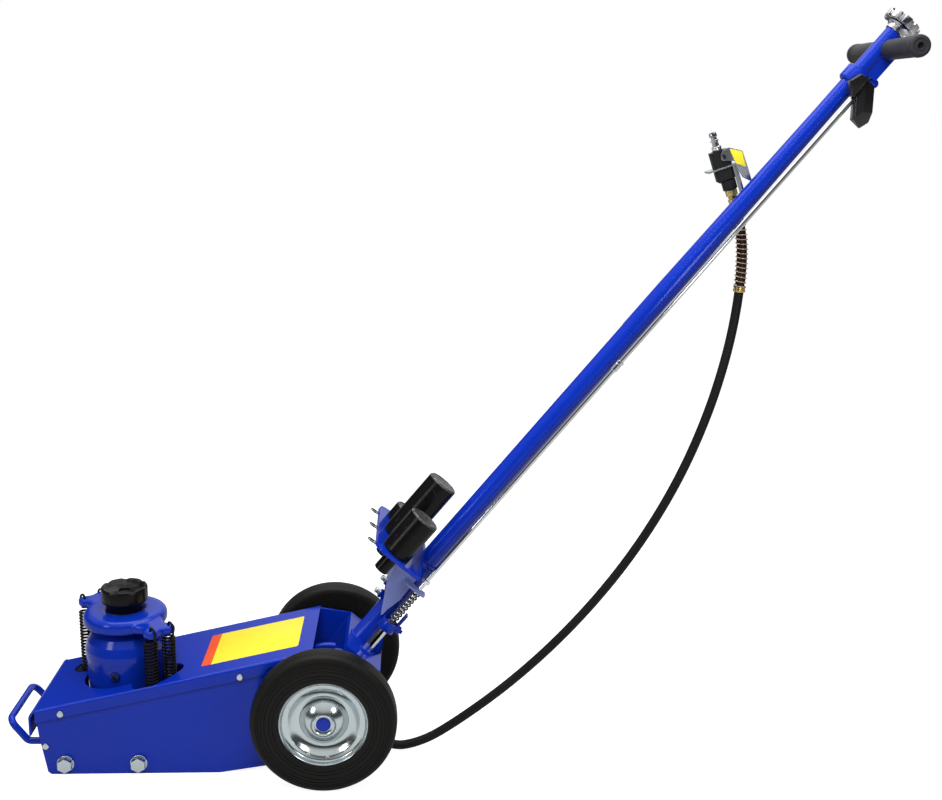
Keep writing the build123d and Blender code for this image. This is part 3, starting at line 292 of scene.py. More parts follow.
# %% Blue powder coat
def powder_coat(name, peel, roughness, deep=(0.002, 0.022, 0.34), light=(0.003, 0.029, 0.41)):
    finish = Finish(name)
    clouds = finish.noise(9.0, 2.0)
    grain = finish.noise(340.0, 1.0)
    uneven = finish.noise(30.0, 3.0)
    return finish.set(color=finish.mix(clouds, deep, light), roughness=roughness + uneven * 0.06,
                      normal=finish.bump(grain, peel, 0.0001), specular=0.26)


blue_coat = powder_coat("blue_powder_coat", 0.005, 0.13)
blue_cast = powder_coat("blue_cast_paint", 0.10, 0.10, (0.002, 0.022, 0.32), (0.003, 0.029, 0.39))
# The handle bracket's blue is paler and lavender, a painted sheen: the reflection of the bright
# room on its flat plate is put into its colour.
pale_blue_painted_sheen = powder_coat("bracket_blue_painted_sheen", 0.20, 0.40, (0.22, 0.27, 0.64), (0.28, 0.33, 0.72))

# %% [markdown]
# Bolts, rims and straps are zinc plated steel: pale, a little cloudy, with fine marks. The latch
# pin, rod, knob and hub nut are chromed, so they mirror the room. A metal shows its colour only
# in its reflections, so each recipe is fully metallic, with two close tints and a roughness that
# drifts between two values.

# %% Plated and bare metals
def plated(name, color, dark, low, high, cloud):
    finish = Finish(name)
    clouds = finish.noise(cloud, 4.0, 0.6)
    scratch = finish.noise(900.0, 2.0, 0.5, (1.0, 1.0, 0.08))
    rough = low + clouds * (high - low) + scratch * 0.03
    return finish.set(color=finish.mix(clouds, dark, color), metallic=1.0, roughness=rough,
                      normal=finish.bump(scratch, 0.03, 0.0001))


zinc = plated("zinc_plate", (0.66, 0.68, 0.62), (0.50, 0.61, 0.70), 0.13, 0.21, 14.0)
chrome = plated("chrome_plate", (0.78, 0.79, 0.81), (0.70, 0.71, 0.74), 0.03, 0.07, 60.0)
ground_steel = plated("ground_steel", (0.62, 0.63, 0.65), (0.50, 0.51, 0.53), 0.22, 0.38, 80.0)
brass = plated("brass", (0.80, 0.62, 0.26), (0.62, 0.44, 0.16), 0.20, 0.36, 70.0)
spring_steel = plated("spring_steel", (0.20, 0.20, 0.22), (0.10, 0.10, 0.11), 0.16, 0.30, 90.0)
cast_alloy = plated("cast_alloy", (0.58, 0.59, 0.61), (0.44, 0.45, 0.47), 0.35, 0.55, 120.0)
bronze = plated("bronze_wire", (0.80, 0.66, 0.50), (0.62, 0.46, 0.32), 0.12, 0.22, 60.0)

# %% [markdown]
# The adapters, saddle and springs are blackened steel: nearly black with a dull shine, rubbed
# paler where tools have scraped along them. One flat black would look like a hole, so a ramp lets
# a paler grey through on a small share of the noise. Rubber and plastic share a recipe of faint
# clouds and fine pores.

# %% Blackened steel, rubber and plastic
def blackened(name):
    finish = Finish(name)
    scrape = finish.noise(130.0, 6.0, 0.75, (1.0, 1.0, 0.35))
    rubbed = finish.ramp(scrape, (0.60, 0.0), (0.74, 1.0)) * 0.35
    color = finish.mix(rubbed, (0.004, 0.004, 0.004), (0.06, 0.06, 0.06))
    return finish.set(color=color, roughness=0.16 + scrape * 0.14, specular=0.15,
                      normal=finish.bump(scrape, 0.06, 0.0003))


def rubber(name, color, pale, roughness, grain, depth, specular=0.14):
    finish = Finish(name)
    clouds = finish.noise(25.0, 4.0, 0.6)
    pores = finish.noise(grain, 3.0)
    return finish.set(color=finish.mix(clouds, color, pale), roughness=roughness + clouds * 0.12,
                      normal=finish.bump(pores, depth, 0.0004), specular=specular)


black_steel = blackened("blackened_steel")
tyre_rubber = rubber("tyre_rubber", (0.006, 0.006, 0.006), (0.011, 0.010, 0.009), 0.40, 500.0, 0.15)
hose_rubber = rubber("hose_rubber", (0.006, 0.006, 0.006), (0.012, 0.012, 0.012), 0.36, 700.0, 0.15)
black_plastic = rubber("black_plastic", (0.010, 0.010, 0.011), (0.018, 0.018, 0.019), 0.34, 900.0,
                       0.2)
brown_sleeve = rubber("brown_sleeve", (0.020, 0.008, 0.005), (0.034, 0.014, 0.008), 0.34, 700.0,
                      0.15)

# %% [markdown]
# Every part of the frame that stays in sight takes its finish by name. The plain solids have
# knife edges, and a small bevel lets them catch the light as real sheet and bar does. It could be
# cut into each solid, but a modifier leaves the part's own mesh alone. Welding the loose
# triangles first, and clearing the flat ones, keeps the bevel clean.

# %% Dress the frame
coats = {
    blue_coat: ["left_side_plate", "right_side_plate", "top_cover", "base_plate", "front_crossbar",
                "front_bail", "rear_crossmember", "left_stub_axle", "right_stub_axle",
                "latch_quadrant", "handle_yoke", "lower_tube", "adapter_tray", "handle_crossbar",
                "trigger_bracket", "latch_cup"],
    # The handle bracket takes the pale blue with the painted sheen.
    pale_blue_painted_sheen: ["handle_bracket"],
    blue_cast: ["hydraulic_base", "reservoir", "gland_nut"],
    zinc: ["cover_screws", "base_bolts", "axle_rings", "valve_strap"],
    chrome: ["latch_pin", "latch_rod"],
    ground_steel: ["ram", "ram_barrel", "release_rod", "release_shaft", "air_piston",
                   "valve_plunger"],
    black_plastic: ["valve_body"],
    brass: ["hose_inlet"],
    cast_alloy: ["air_motor_cylinder"],
}
for coat, names in coats.items():
    for name in names:
        nodes[name].material_slots[0].material = coat


def add_bevel(piece, width, segments, angle=35):
    """Rounds the edges sharper than an angle, by a width in millimetres."""
    edge = piece.modifiers.new("edge", "BEVEL")
    edge.width = width * MM
    edge.segments = segments
    edge.limit_method = "ANGLE"
    edge.angle_limit = math.radians(angle)
    return edge


def soften(name, width):
    """Rounds a frame part's sharp edges, with modifiers alone."""
    part = nodes[name]
    part.modifiers.new("weld", "WELD").merge_threshold = MERGE
    flatten = part.modifiers.new("flatten", "DECIMATE")
    flatten.decimate_type = "DISSOLVE"
    flatten.angle_limit = math.radians(1.0)
    add_bevel(part, width, 2).harden_normals = True


rounded = {0.8: ["top_cover", "left_side_plate", "right_side_plate", "handle_yoke", "adapter_tray",
                 "handle_bracket", "latch_cup", "base_bolts", "latch_quadrant"],
           0.5: ["valve_strap", "trigger_bracket"],
           1.2: ["valve_body", "handle_crossbar", "front_crossbar"]}
for width, names in rounded.items():
    for name in names:
        soften(name, width)
print("finished frame parts:", sum(len(names) for names in coats.values()))

# %% [markdown]
# An operator acts on whatever is selected, as a click in the window does. The parts of the frame
# come in selected, so each step first selects the one piece it means. Edit mode is easy to leave
# on by mistake, so a with block turns it off again.

# %% Selecting and editing
def deselect():
    bpy.ops.object.select_all(action="DESELECT")


def select_only(piece):
    deselect()
    piece.select_set(True)
    bpy.context.view_layer.objects.active = piece


@contextmanager
def editing():
    """Edit mode with everything selected, and object mode again afterwards."""
    bpy.ops.object.mode_set(mode="EDIT")
    bpy.ops.mesh.select_all(action="SELECT")
    yield
    bpy.ops.object.mode_set(mode="OBJECT")


def face_outward():
    bpy.ops.mesh.select_all(action="SELECT")
    bpy.ops.mesh.normals_make_consistent(inside=False)


# %% [markdown]
# Most new pieces are round, and a round piece is drawn the way a lathe cuts it: one ring is
# added, then extruded and scaled again and again along the profile. Spinning a drawn outline
# would do as well, but this way each ring lies just where the profile says.

# %% Turned pieces
def turned(profile, sides=96):
    """A ring extruded and scaled along a profile of (radius, height) in millimetres."""
    least = 0.02
    radius, height = profile[0]
    deselect()
    bpy.ops.mesh.primitive_circle_add(vertices=sides, radius=max(radius, least) * MM,
                                      location=(0, 0, height * MM))
    piece = bpy.context.object
    bpy.ops.object.transform_apply(location=True, rotation=False, scale=False)
    with editing():
        for (before, low), (after, high) in zip(profile, profile[1:]):
            bpy.ops.mesh.extrude_edges_move(
                TRANSFORM_OT_translate={"value": (0, 0, (high - low) * MM)})
            grow = max(after, least) / max(before, least)
            bpy.ops.transform.resize(value=(grow, grow, 1), center_override=(0, 0, high * MM))
        if profile[-1][0] == 0:
            bpy.ops.mesh.merge(type="CENTER")
        if profile[0][0] == 0:
            bpy.ops.mesh.select_all(action="DESELECT")
            bpy.ops.object.mode_set(mode="OBJECT")
            for number in range(sides):
                piece.data.vertices[number].select = True
            bpy.ops.object.mode_set(mode="EDIT")
            bpy.ops.mesh.merge(type="CENTER")
        bpy.ops.mesh.select_all(action="SELECT")
        bpy.ops.mesh.remove_doubles(threshold=MERGE)
        face_outward()
    return piece


# %% [markdown]
# Pieces are shaped about the origin, where their sizes are easy to read, and then set in place.
# The place is applied to the mesh, so the object itself stays put and a pattern can't slide over
# it.

# %% Setting in place
def finished(piece, name, place, coat, angle=32):
    """Sets a shaped piece in place, with its name, finish and shading."""
    piece.name = name
    select_only(piece)
    if place is not None:
        piece.matrix_world = place @ piece.matrix_world
    bpy.ops.object.transform_apply(location=True, rotation=True, scale=True)
    bpy.ops.object.shade_smooth_by_angle(angle=math.radians(angle))
    piece.data.materials.append(coat)
    print(name, "faces:", len(piece.data.polygons))
    return piece


# %% [markdown]
# Flat pieces start as an outline or a block. A sheet is one face that is thickened, like a blank
# from a press, and a block is sawn by planes, which keeps every face as flat as the real one.
# Sharp edges are then rounded off, as a deburring wheel does, and pieces that are welded or
# moulded together are joined.

# %% Sheets and blocks
def round_edges(piece, width, segments=2, angle=35):
    """Rounds a piece's sharp edges by a width in millimetres."""
    add_bevel(piece, width, segments, angle)
    select_only(piece)
    bpy.ops.object.modifier_apply(modifier="edge")


def cut_sheet(outline, thick, corner, edge=0.2):
    """A sheet cut along an outline in millimetres, with rounded corners, and thickened."""
    deselect()
    bpy.ops.mesh.primitive_circle_add(vertices=len(outline), radius=10 * MM, fill_type="NGON")
    piece = bpy.context.object
    for vertex, (x, y) in zip(piece.data.vertices, outline):
        vertex.co = (x * MM, y * MM, 0)
    with editing():
        bpy.ops.mesh.bevel(offset=corner * MM, segments=5, affect="VERTICES")
        bpy.ops.mesh.select_all(action="SELECT")
        bpy.ops.mesh.extrude_region_move(TRANSFORM_OT_translate={"value": (0, 0, thick * MM)})
        face_outward()
    round_edges(piece, edge, 2, 60)
    return piece


def cut_block(low, high, planes):
    """A block between two corners in millimetres, cut by planes of (point, outward direction)."""
    deselect()
    middle = [(start + end) / 2 * MM for start, end in zip(low, high)]
    size = [(end - start) * MM for start, end in zip(low, high)]
    bpy.ops.mesh.primitive_cube_add(size=1, location=middle, scale=size)
    bpy.ops.object.transform_apply(location=True, rotation=True, scale=True)
    piece = bpy.context.object
    with editing():
        for point, way in planes:
            bpy.ops.mesh.select_all(action="SELECT")
            bpy.ops.mesh.bisect(plane_co=[part * MM for part in point], plane_no=way,
                                use_fill=True, clear_outer=True)
        face_outward()
    return piece


def joined(parts):
    """Makes several shaped pieces one piece."""
    select_only(parts[0])
    for other in parts[1:]:
        other.select_set(True)
    bpy.ops.object.join()
    return parts[0]


# %% [markdown]
# What repeats is modelled once. A Mirror modifier would leave both wheels in one mesh, and then
# they couldn't turn alone. So each copy gets a mesh of its own, and the far side's wheel and grip
# are the near side's, mirrored across the jack's middle with their faces turned out again.

# %% Copies
def own_copy(piece, place):
    """A copy with its own mesh, moved by a matrix."""
    twin = piece.copy()
    twin.data = piece.data.copy()
    twin.data.transform(place)
    return add_to_scene(twin)


def mirrored_copy(piece, name, body):
    twin = own_copy(piece, Matrix.Scale(-1, 4, right))
    twin.data.flip_normals()
    twin.name = name
    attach(twin, body)
    return twin


# %% [markdown]
# The tyres are solid rubber. Their side walls have fine moulded rings, and the tread is worn
# smooth but for shallow grooves round it. Both could be a bump in the finish, but they show in
# outline at the shoulder, so each groove is a pair of small steps in the profile.

# %% Tyres
wheel_y = 123.65
wheel_frame = frame_of(axle + Vector((0, -wheel_y * MM, 0)), -right, up_handle)
tyre_half = 19.0
tyre_r = 100.0
bead_r = 60.6
wall_low = bead_r + 3.4
wall_high = 95.0
side_rings = (68.5, 73.0, 79.5, 84.0, 88.0, 91.0)
tread_rings = (9.0, 5.4, 1.8, -1.8, -5.4, -9.0)


def ring_grooves(start, end, places, width, depth, surface):
    """Profile points from start to end with grooves at the given places."""
    points = [start]
    for middle in places:
        for offset, sunk in ((-width, 0), (-width * 0.5, depth), (width * 0.5, depth), (width, 0)):
            points.append(surface(middle + offset, sunk))
    points.append(end)
    return points


def wall_point(radius, sunk):
    bulge = 0.9 * math.sin(math.pi * (radius - wall_low) / (wall_high - wall_low))
    return (radius, tyre_half - 0.9 + bulge - sunk)


def tread_point(height, sunk):
    crown = 0.004 * height * height
    return (tyre_r - crown - sunk, height)


bead = [(bead_r, tyre_half - 4), (bead_r + 1.2, tyre_half - 1.6)]
wall = ring_grooves((wall_low, tyre_half - 1.1), (wall_high, tyre_half - 1.4), side_rings,
                    0.7, 0.8, wall_point)
shoulder = [(97.2, tyre_half - 2.6), (98.6, tyre_half - 4.6), (99.3, tyre_half - 6.4)]
outer_side = bead + wall + shoulder
tread = ring_grooves((99.4, 12.0), (99.4, -12.0), tread_rings, -0.5, 0.7, tread_point)
inner_side = [(radius, -height) for radius, height in reversed(outer_side)]
tyre = finished(turned(outer_side + tread + inner_side + [bead[0]], 144), "tyre_left",
                wheel_frame, tyre_rubber, 40)
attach(tyre, "left_wheel")
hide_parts("left_tyre")
tyre_twin = mirrored_copy(tyre, "tyre_right", "right_wheel")
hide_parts("right_tyre")

# %% [markdown]
# A rim is one pressed steel dish with a rolled lip, welded on a hub tube. The press leaves a flat
# ring, a valley, and a dome that ends just short of the hub. A thin face could be thickened with
# Solidify, but one profile that runs down the front and back up behind also gives the hub its
# depth.

# %% Rims
dome_r = 39.0
dome_top_r = 17.0
dome_top = 16.5
rim_profile = [(60.5, -16), (60.5, 12), (61.3, 14.4), (61, 15.6), (60.1, 16.1), (59.2, 15.7),
               (58.4, 14.2), (57.4, 11.8), (56.2, 10), (54.4, 9.2), (50.8, 8.9), (49.6, 8.3),
               (48.2, 7), (45.8, 4.6), (42.8, 2.4), (39.8, 0.9), (37.4, 0.3), (35.8, 0.3),
               (34.8, 0.7)]
for reach in (33.8, 32.6, 31.0, 29.2, 27.2, 25.2, 23.2, 21.2, 19.4, 18.2, 17.4):
    drop = math.sqrt(dome_r ** 2 - dome_top_r ** 2) - math.sqrt(dome_r ** 2 - reach ** 2)
    rim_profile.append((reach, dome_top - drop))
rim_profile += [(16.9, 15.8), (16.4, 14.4), (15.9, 13.8), (15.5, 14.2), (15.4, 17.4), (14.9, 17.9),
                (13.2, 17.9), (12.6, 17.4), (12.4, 11.4), (10.1, 11.4), (10.1, -18.8), (19, -18.8),
                (20, -18), (20, 6), (23.2, 9.6), (27.2, 5.4), (31, 1), (33.4, -2.4), (37, -3),
                (43, -1.2), (49, 4.6), (55, 6.6), (57.4, 5.4), (57.6, -15), (58.2, -16.6),
                (59.6, -17), (60.5, -16)]
rim = finished(turned(rim_profile, 128), "rim_left", wheel_frame, zinc, 38)

# %% [markdown]
# The press also leaves twelve small raised arcs on the flat ring. Embossing them in the rim's
# mesh would need far more faces, so half of a small thin ring is laid on the face and copied
# round.

# %% Raised marks
deselect()
bpy.ops.mesh.primitive_torus_add(major_radius=1.9 * MM, minor_radius=0.42 * MM,
                                 major_segments=14, minor_segments=6)
mark = bpy.context.object
with editing():
    bpy.ops.mesh.bisect(plane_co=(0.4 * MM, 0, 0), plane_no=(1, 0, 0), clear_outer=True)
mark_place = Matrix.Translation(Vector((51.8, 0, 9.0)) * MM)
mark_count = 12
marks = []
for number in range(mark_count):
    spin = Matrix.Rotation(math.radians((number + 0.5) * 360 / mark_count), 4, "Z")
    marks.append(own_copy(mark, wheel_frame @ spin @ mark_place))
bpy.data.objects.remove(mark)
joined([rim] + marks)
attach(rim, "left_wheel")
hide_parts("left_rim")
rim_twin = mirrored_copy(rim, "rim_right", "right_wheel")
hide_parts("right_rim")
print("raised marks:", len(marks))

# %% [markdown]
# The saddle is a black cast cap with a dished top. Its rim was ground into seven shallow waves
# that keep an axle from sliding off. Cutting them with seven cylinders would leave a seam at
# each, so the rim's points are lowered in step with their angle instead.

# %% Saddle
saddle_profile = [(12.2, 214), (26, 213.8), (26.5, 214.4), (26.5, 223.4), (27.4, 224.6),
                  (31.2, 226), (32.2, 227.2), (32.5, 230), (32.5, 243.8), (32.1, 245.8),
                  (31, 247.2), (29.6, 247.6), (27.2, 247), (24.6, 244.8), (22.6, 242.8), (21, 242),
                  (9, 241.6), (8, 241), (7.4, 238.6), (0, 238.2)]
waves = 7
wave_depth = 1.7
wave_shift = 0.6
rim_inside = 20
rim_foot = 242.5
full_depth_after = 8
saddle = turned(saddle_profile)
for vertex in saddle.data.vertices:
    reach = math.hypot(vertex.co.x, vertex.co.y) / MM
    if reach > rim_inside and vertex.co.z > rim_foot * MM:
        angle = math.atan2(vertex.co.y, vertex.co.x)
        wave = max(0.0, math.cos(waves * angle + wave_shift))
        share = min(1.0, (reach - rim_inside) / full_depth_after)
        vertex.co.z -= wave_depth * MM * wave ** 2 * share
finished(saddle, "saddle_cap", None, black_steel, 40)
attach(saddle, "saddle")
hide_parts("saddle")

# %% [markdown]
# The spring plate is one rough casting, a ring with two ears. A bevel can't round corners where
# so many edges meet. Remeshing the plain solid into small even faces and smoothing them melts its
# corners into the wide fillets of a casting.

# %% Spring plate
def solid_copy(name):
    """A copy of a frame part with its loose triangles merged."""
    select_only(nodes[name])
    bpy.ops.object.duplicate()
    piece = bpy.context.object
    bpy.ops.object.parent_clear(type="CLEAR_KEEP_TRANSFORM")
    piece.data.materials.clear()
    with editing():
        bpy.ops.mesh.remove_doubles(threshold=MERGE)
    return piece


plate = solid_copy("spring_plate")
melt = plate.modifiers.new("melt", "REMESH")
melt.mode = "VOXEL"
melt.voxel_size = 1.3 * MM
soft = plate.modifiers.new("soft", "SMOOTH")
soft.factor = 0.5
soft.iterations = 44
for modifier in ("melt", "soft"):
    bpy.ops.object.modifier_apply(modifier=modifier)
finished(plate, "spring_plate_casting", None, blue_cast, 60)
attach(plate, "ram")
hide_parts("spring_plate")

# %% [markdown]
# Springs and clips are bent wire. A Screw modifier makes a fine coil, but it can't bend a hook.
# So a wire is a smooth curve through its bends with a round bevel, turned into a mesh once it is
# right. A coil's points come from its own formula, and it can be wound on any track.

# %% Bent wire
def bent_curve(points, resolution, swell=(1.0,)):
    """A smooth curve along points in metres; swell scales its radius from point to point."""
    curve = bpy.data.curves.new("wire", "CURVE")
    curve.dimensions = "3D"
    spline = curve.splines.new("NURBS")
    spline.points.add(len(points) - 1)
    for number, (point, place) in enumerate(zip(spline.points, points)):
        point.co = (*place, 1)
        point.radius = swell[number % len(swell)]
    spline.order_u = 3
    spline.use_endpoint_u = True
    spline.resolution_u = resolution
    return add_to_scene(bpy.data.objects.new("wire", curve))


def filled_out(bent, radius, sides):
    """Gives a curve a round section and makes it a mesh."""
    bent.data.bevel_depth = radius * MM
    bent.data.bevel_resolution = sides
    bent.data.use_fill_caps = True
    select_only(bent)
    bpy.ops.object.convert(target="MESH")
    return bpy.context.object


def wire(points, radius, sides=3, swell=(1.0,)):
    return filled_out(bent_curve(points, 2, swell), radius, sides)


def upright(height):
    """A point of the Z axis at a height in millimetres, and two directions square to the axis."""
    return Vector((0, 0, height)) * MM, Vector((1, 0, 0)), Vector((0, 1, 0))


def coil(radius, low, high, turns, track=upright, start=0, per_turn=14):
    """Points in metres of a coil wound on a track, from sizes in millimetres."""
    count = round(turns * per_turn)
    points = []
    for step in range(count + 1):
        middle, across, beside = track(low + (high - low) * step / count)
        angle = math.radians(start) + 2 * math.pi * turns * step / count
        points.append(middle + (across * math.cos(angle) + beside * math.sin(angle)) * radius * MM)
    return points


# %% [markdown]
# Four springs pull the ram down again, a pair below each ear of the spring plate. Each is wound
# close, with a straight foot in the base and a hook over the ear.

# %% Return springs
spring_ring_r = 85.0
spring_foot = [(0, 36), (0, 42), (4, 46.5)]
spring_hook = [(9.5, 194), (11.6, 197), (12.4, 203), (11.6, 209), (7.5, 213), (2, 213), (0, 208),
               (0, 199)]
springs = [(ear, side) for ear in (-45, 135) for side in (-10, 10)]
for number, (ear, side) in enumerate(springs, start=1):
    turn = math.radians(ear + side)
    foot = Vector((spring_ring_r * math.cos(turn), spring_ring_r * math.sin(turn), 0)) * MM
    path = [Vector((out, 0, height)) * MM for out, height in spring_foot]
    path += coil(8.4, 48, 192, 30)
    path += [Vector((out, 0, height)) * MM for out, height in spring_hook]
    stand = Matrix.Translation(foot) @ Matrix.Rotation(math.radians(ear), 4, "Z")
    spring = finished(wire(path, 1.7, 2), f"return_spring_{number}", stand, black_steel,
                      60)
    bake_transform(spring)
    if number == 1:
        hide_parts("return_springs")

# %% [markdown]
# The latch spring is a coil of thicker, brighter wire round the latch rod. It is wound as the
# return springs are, without hooks. Its lower end moves with the rod and its upper end stays with
# the handle; here the coil is only set in place, and follows neither.

# %% Latch spring
latch_coil = finished(wire(coil(6.1, 127.4, 192.6, 10), 1.35), "latch_coil", latch_frame,
                      spring_steel, 60)
tuple(on_handle(128, latch_y, latch_n))
tuple(on_handle(192, latch_y, latch_n))
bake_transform(latch_coil)
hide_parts("latch_spring")

# %% [markdown]
# The release rod's universal joint bends as the handle swings. Two forks on their own hinges
# would be truer, but the joint is hardly seen inside the chassis. So the plain solid is cut into
# short lengths and set in place as it is.

# %% Universal joint
link = solid_copy("release_joint")
with editing():
    bpy.ops.mesh.subdivide(number_cuts=3)
finished(link, "universal_link", None, ground_steel, 40)
tuple(on_handle(66, 0, tube_n))
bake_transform(link)
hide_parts("release_joint")

# %% [markdown]
# The air hose leaves the chassis low, brushes the ground and climbs to the valve in one long
# curve under its own weight. A physics run could hang it, but a smooth spline through a few well
# chosen points gives the same curve, and gives it every time.

# %% Air hose
hose_r = 6.5
hose_points = [(336, -36, 43), (374, -33, 9), (426, -24, 13), (480, -20, 46), (545, -15, 94),
               (605, -11, 148), (660, -6, 206), (712, -1, 271), (757, 4, 340), (796, 9, 414),
               (828, 14, 495), (850, 20, 571), (863, 25, 640), (868, 27, 705), (864, 27, 759),
               (852, 27, 793)]
hose_path = [Vector(place) * MM for place in hose_points]
hose_curve = bent_curve(hose_path, 10)
line = [vertex.co.copy() for vertex in bpy.data.meshes.new_from_object(hose_curve).vertices]
hose = finished(filled_out(hose_curve, hose_r, 6), "air_hose_line", None, hose_rubber,
                60)

# %% [markdown]
# A bronze coil guards the top of the hose, over a brown sleeve, with a brass ferrule at its foot.
# They could be bent one by one to suit, but taking every place from the hose's own line keeps
# them on it.

# %% Hose guard
def along_hose(distance):
    """A point of the hose's line and its direction, a distance in metres back from its top."""
    for here, there in zip(reversed(line), reversed(line[:-1])):
        step = (there - here).length
        if step >= distance:
            return here.lerp(there, distance / step), (here - there).normalized()
        distance -= step
    raise ValueError("the hose is too short")


def on_hose(distance):
    """A point of the hose, in millimetres back from its top, and two directions square to it."""
    middle, direction = along_hose(distance * MM)
    across = direction.cross(right).normalized()
    return middle, across, direction.cross(across)


guard = finished(wire(coil(8.5, 22, 121, 15, on_hose), 0.75, 2), "guard_coil", None, bronze,
                 60)
sleeve_line = [along_hose(reach * MM)[0] for reach in range(8, 116, 6)]
sleeve = finished(wire(sleeve_line, 7.15, 6), "guard_sleeve", None, brown_sleeve,
                  60)
ferrule_place, ferrule_way = along_hose(119 * MM)
ferrule_profile = [(6.6, -5), (8.2, -5), (8.6, -4.4), (8.6, -2), (7.8, -1.4), (7.8, 0.4), (8.6, 1),
                   (8.6, 3.4), (8.2, 4), (6.6, 4), (6.6, -5)]
ferrule = finished(turned(ferrule_profile, 48), "guard_ferrule",
                   frame_of(ferrule_place, ferrule_way, right), brass, 35)
for along in (hose, guard, sleeve, ferrule):
    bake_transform(along)
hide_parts("air_hose")
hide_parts("hose_guard")

# %% [markdown]
# The lid carries a blank yellow panel with a plain red-orange strip at its front end, where
# such a jack has its printed notice. It is a thin vinyl sheet with rounded corners, so it is
# cut as one flat sheet and laid on the slope. The strip is a matter of colour alone, and the
# vinyl has faint scuffs.

# %% Blank panel on the lid
def vinyl(name, strip_end):
    """Yellow vinyl, with a red-orange strip where X is below a value in metres."""
    finish = Finish(name)
    across = finish.node("ShaderNodeSeparateXYZ", None, {0: finish.place})
    strip = across.out("X").lower_than(strip_end)
    scuff = finish.noise(60.0, 5.0, 0.7)
    yellow = finish.mix(scuff, (0.86, 0.66, 0.02), (0.94, 0.78, 0.05))
    orange = finish.mix(scuff, (0.78, 0.07, 0.02), (0.86, 0.12, 0.03))
    return finish.set(color=finish.mix(strip, yellow, orange), roughness=0.32 + scuff * 0.15,
                      normal=finish.bump(scuff, 0.1, 0.0002), specular=0.3)


lid_lean = math.radians(12.6)
lid_along = Vector((math.cos(lid_lean), 0, math.sin(lid_lean)))
lid_up = Vector((-math.sin(lid_lean), 0, math.cos(lid_lean)))
lid_frame = frame_of(Vector((182.0, 0, 161.84)) * MM, lid_up, lid_along)
half_x, half_y = 69.7, 53.0
panel_corners = [(-half_x, -half_y), (half_x, -half_y), (half_x, half_y), (-half_x, half_y)]
panel = finished(cut_sheet(panel_corners, 0.35, 3.0, 0.1), "blank_panel", lid_frame,
                 vinyl("panel_vinyl", 0.128))
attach(panel, "chassis")

# %% [markdown]
# The oil filler plug on the reservoir's near side is a low dome with a socket in its middle. The
# socket needs no cutting, because the profile simply goes down again before it reaches the
# middle. It is turned like the round pieces before it, and stands on its side.

# %% Filler plug
plug_profile = [(0, -2.5), (4.3, -2.5), (4.3, 0.2), (6.9, 0.2), (7, 1.4), (6.4, 2.6), (5.2, 3.4),
                (3.9, 3.7), (3.3, 3.4), (3.1, 0.4), (0, 0.2)]
plug_frame = frame_of(Vector((-5.0, -55.9, 133.0)) * MM, -right, Vector((1, 0, 0)))
plug_paint = powder_coat("plug_paint", 0.02, 0.10, (0.001, 0.006, 0.05), (0.001, 0.009, 0.07))
plug = finished(turned(plug_profile, 40), "filler_plug_dome", plug_frame, plug_paint,
                40)
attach(plug, "chassis")
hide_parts("filler_plug")

# %% [markdown]
# The three adapters are turned from bar: a spigot below the tray, a plain body above it, and a
# chamfered end with a shallow dish. Their black finish wears off on the chamfer. The wear could
# be painted in an image, but the faces there are easily picked by their height, and take a second
# finish of rubbed steel.

# %% Saddle adapters
def rubbed_steel(name):
    finish = Finish(name)
    scrape = finish.noise(220.0, 6.0, 0.8)
    bare = finish.ramp(scrape, (0.42, 0.0), (0.58, 1.0))
    color = finish.mix(bare, (0.008, 0.008, 0.008), (0.13, 0.13, 0.13))
    return finish.set(color=color, roughness=0.42 - bare * 0.12, metallic=bare * 0.5,
                      normal=finish.bump(scrape, 0.15, 0.0003), specular=0.3)


worn_steel = rubbed_steel("rubbed_steel")
worn_below_top = 2.3
adapter_n = 66
adapter_sizes = {"short_adapter": (65.0, 257.0, 19.0), "long_adapter": (0.0, 335.6, 22.5),
                 "medium_adapter": (-65.0, 294.7, 22.0)}
for name, (across, top, radius) in adapter_sizes.items():
    profile = [(0, 198.6), (9.6, 198.0), (10.6, 199.0), (10.6, 231.0), (radius - 1.0, 231.0),
               (radius, 232.0), (radius, top - 2.4), (radius - 0.5, top - 1.6), (radius - 2.0, top),
               (radius - 3.2, top), (radius - 4.2, top - 0.9), (4.0, top - 1.5), (0, top - 1.5)]
    stand = frame_of(on_handle(0, across, adapter_n), up_handle, right)
    body = finished(turned(profile, 72), name + "_bar", stand, black_steel, 28)
    body.data.materials.append(worn_steel)
    for face in body.data.polygons:
        spot = stand.inverted() @ face.center / MM
        if spot.z > top - worn_below_top:
            face.material_index = 1
    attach(body, "handle")
    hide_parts(name)

# %% [markdown]
# The bracket is clamped by two studs. Each is a short length of zinc plated thread that stands
# out of a nut painted with the bracket. A true helix looks no different at this size, so the
# thread is a row of plain ridges in a profile.

# %% Bracket studs
threads = []
nuts = []
for s, tip in ((151.0, 34.0), (171.0, 39.0)):
    stand = frame_of(on_handle(s, 0, 0), off_handle, up_handle)
    ridges = [(radius, tip - 3 + 0.62 * step) for step, radius in enumerate([4.3, 3.7] * 6)]
    thread = turned([(0, 22), (4.0, 22)] + ridges + [(3.2, tip + 4.8), (0, tip + 4.8)], 28)
    nut = turned([(0, tip - 14), (6.2, tip - 14), (6.8, tip - 13.4), (6.8, tip - 9),
                  (5.2, tip - 8.6), (5.2, tip - 7.8), (6.8, tip - 7.4), (6.8, tip - 3.6),
                  (6.2, tip - 3), (0, tip - 3)], 6)
    for made in (thread, nut):
        made.data.transform(stand)
    threads.append(thread)
    nuts.append(nut)
threads = finished(joined(threads), "stud_threads", None, zinc, 40)
nuts = finished(joined(nuts), "stud_nuts", None, blue_coat, 20)
for made in (threads, nuts):
    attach(made, "handle")
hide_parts("bracket_bolts")

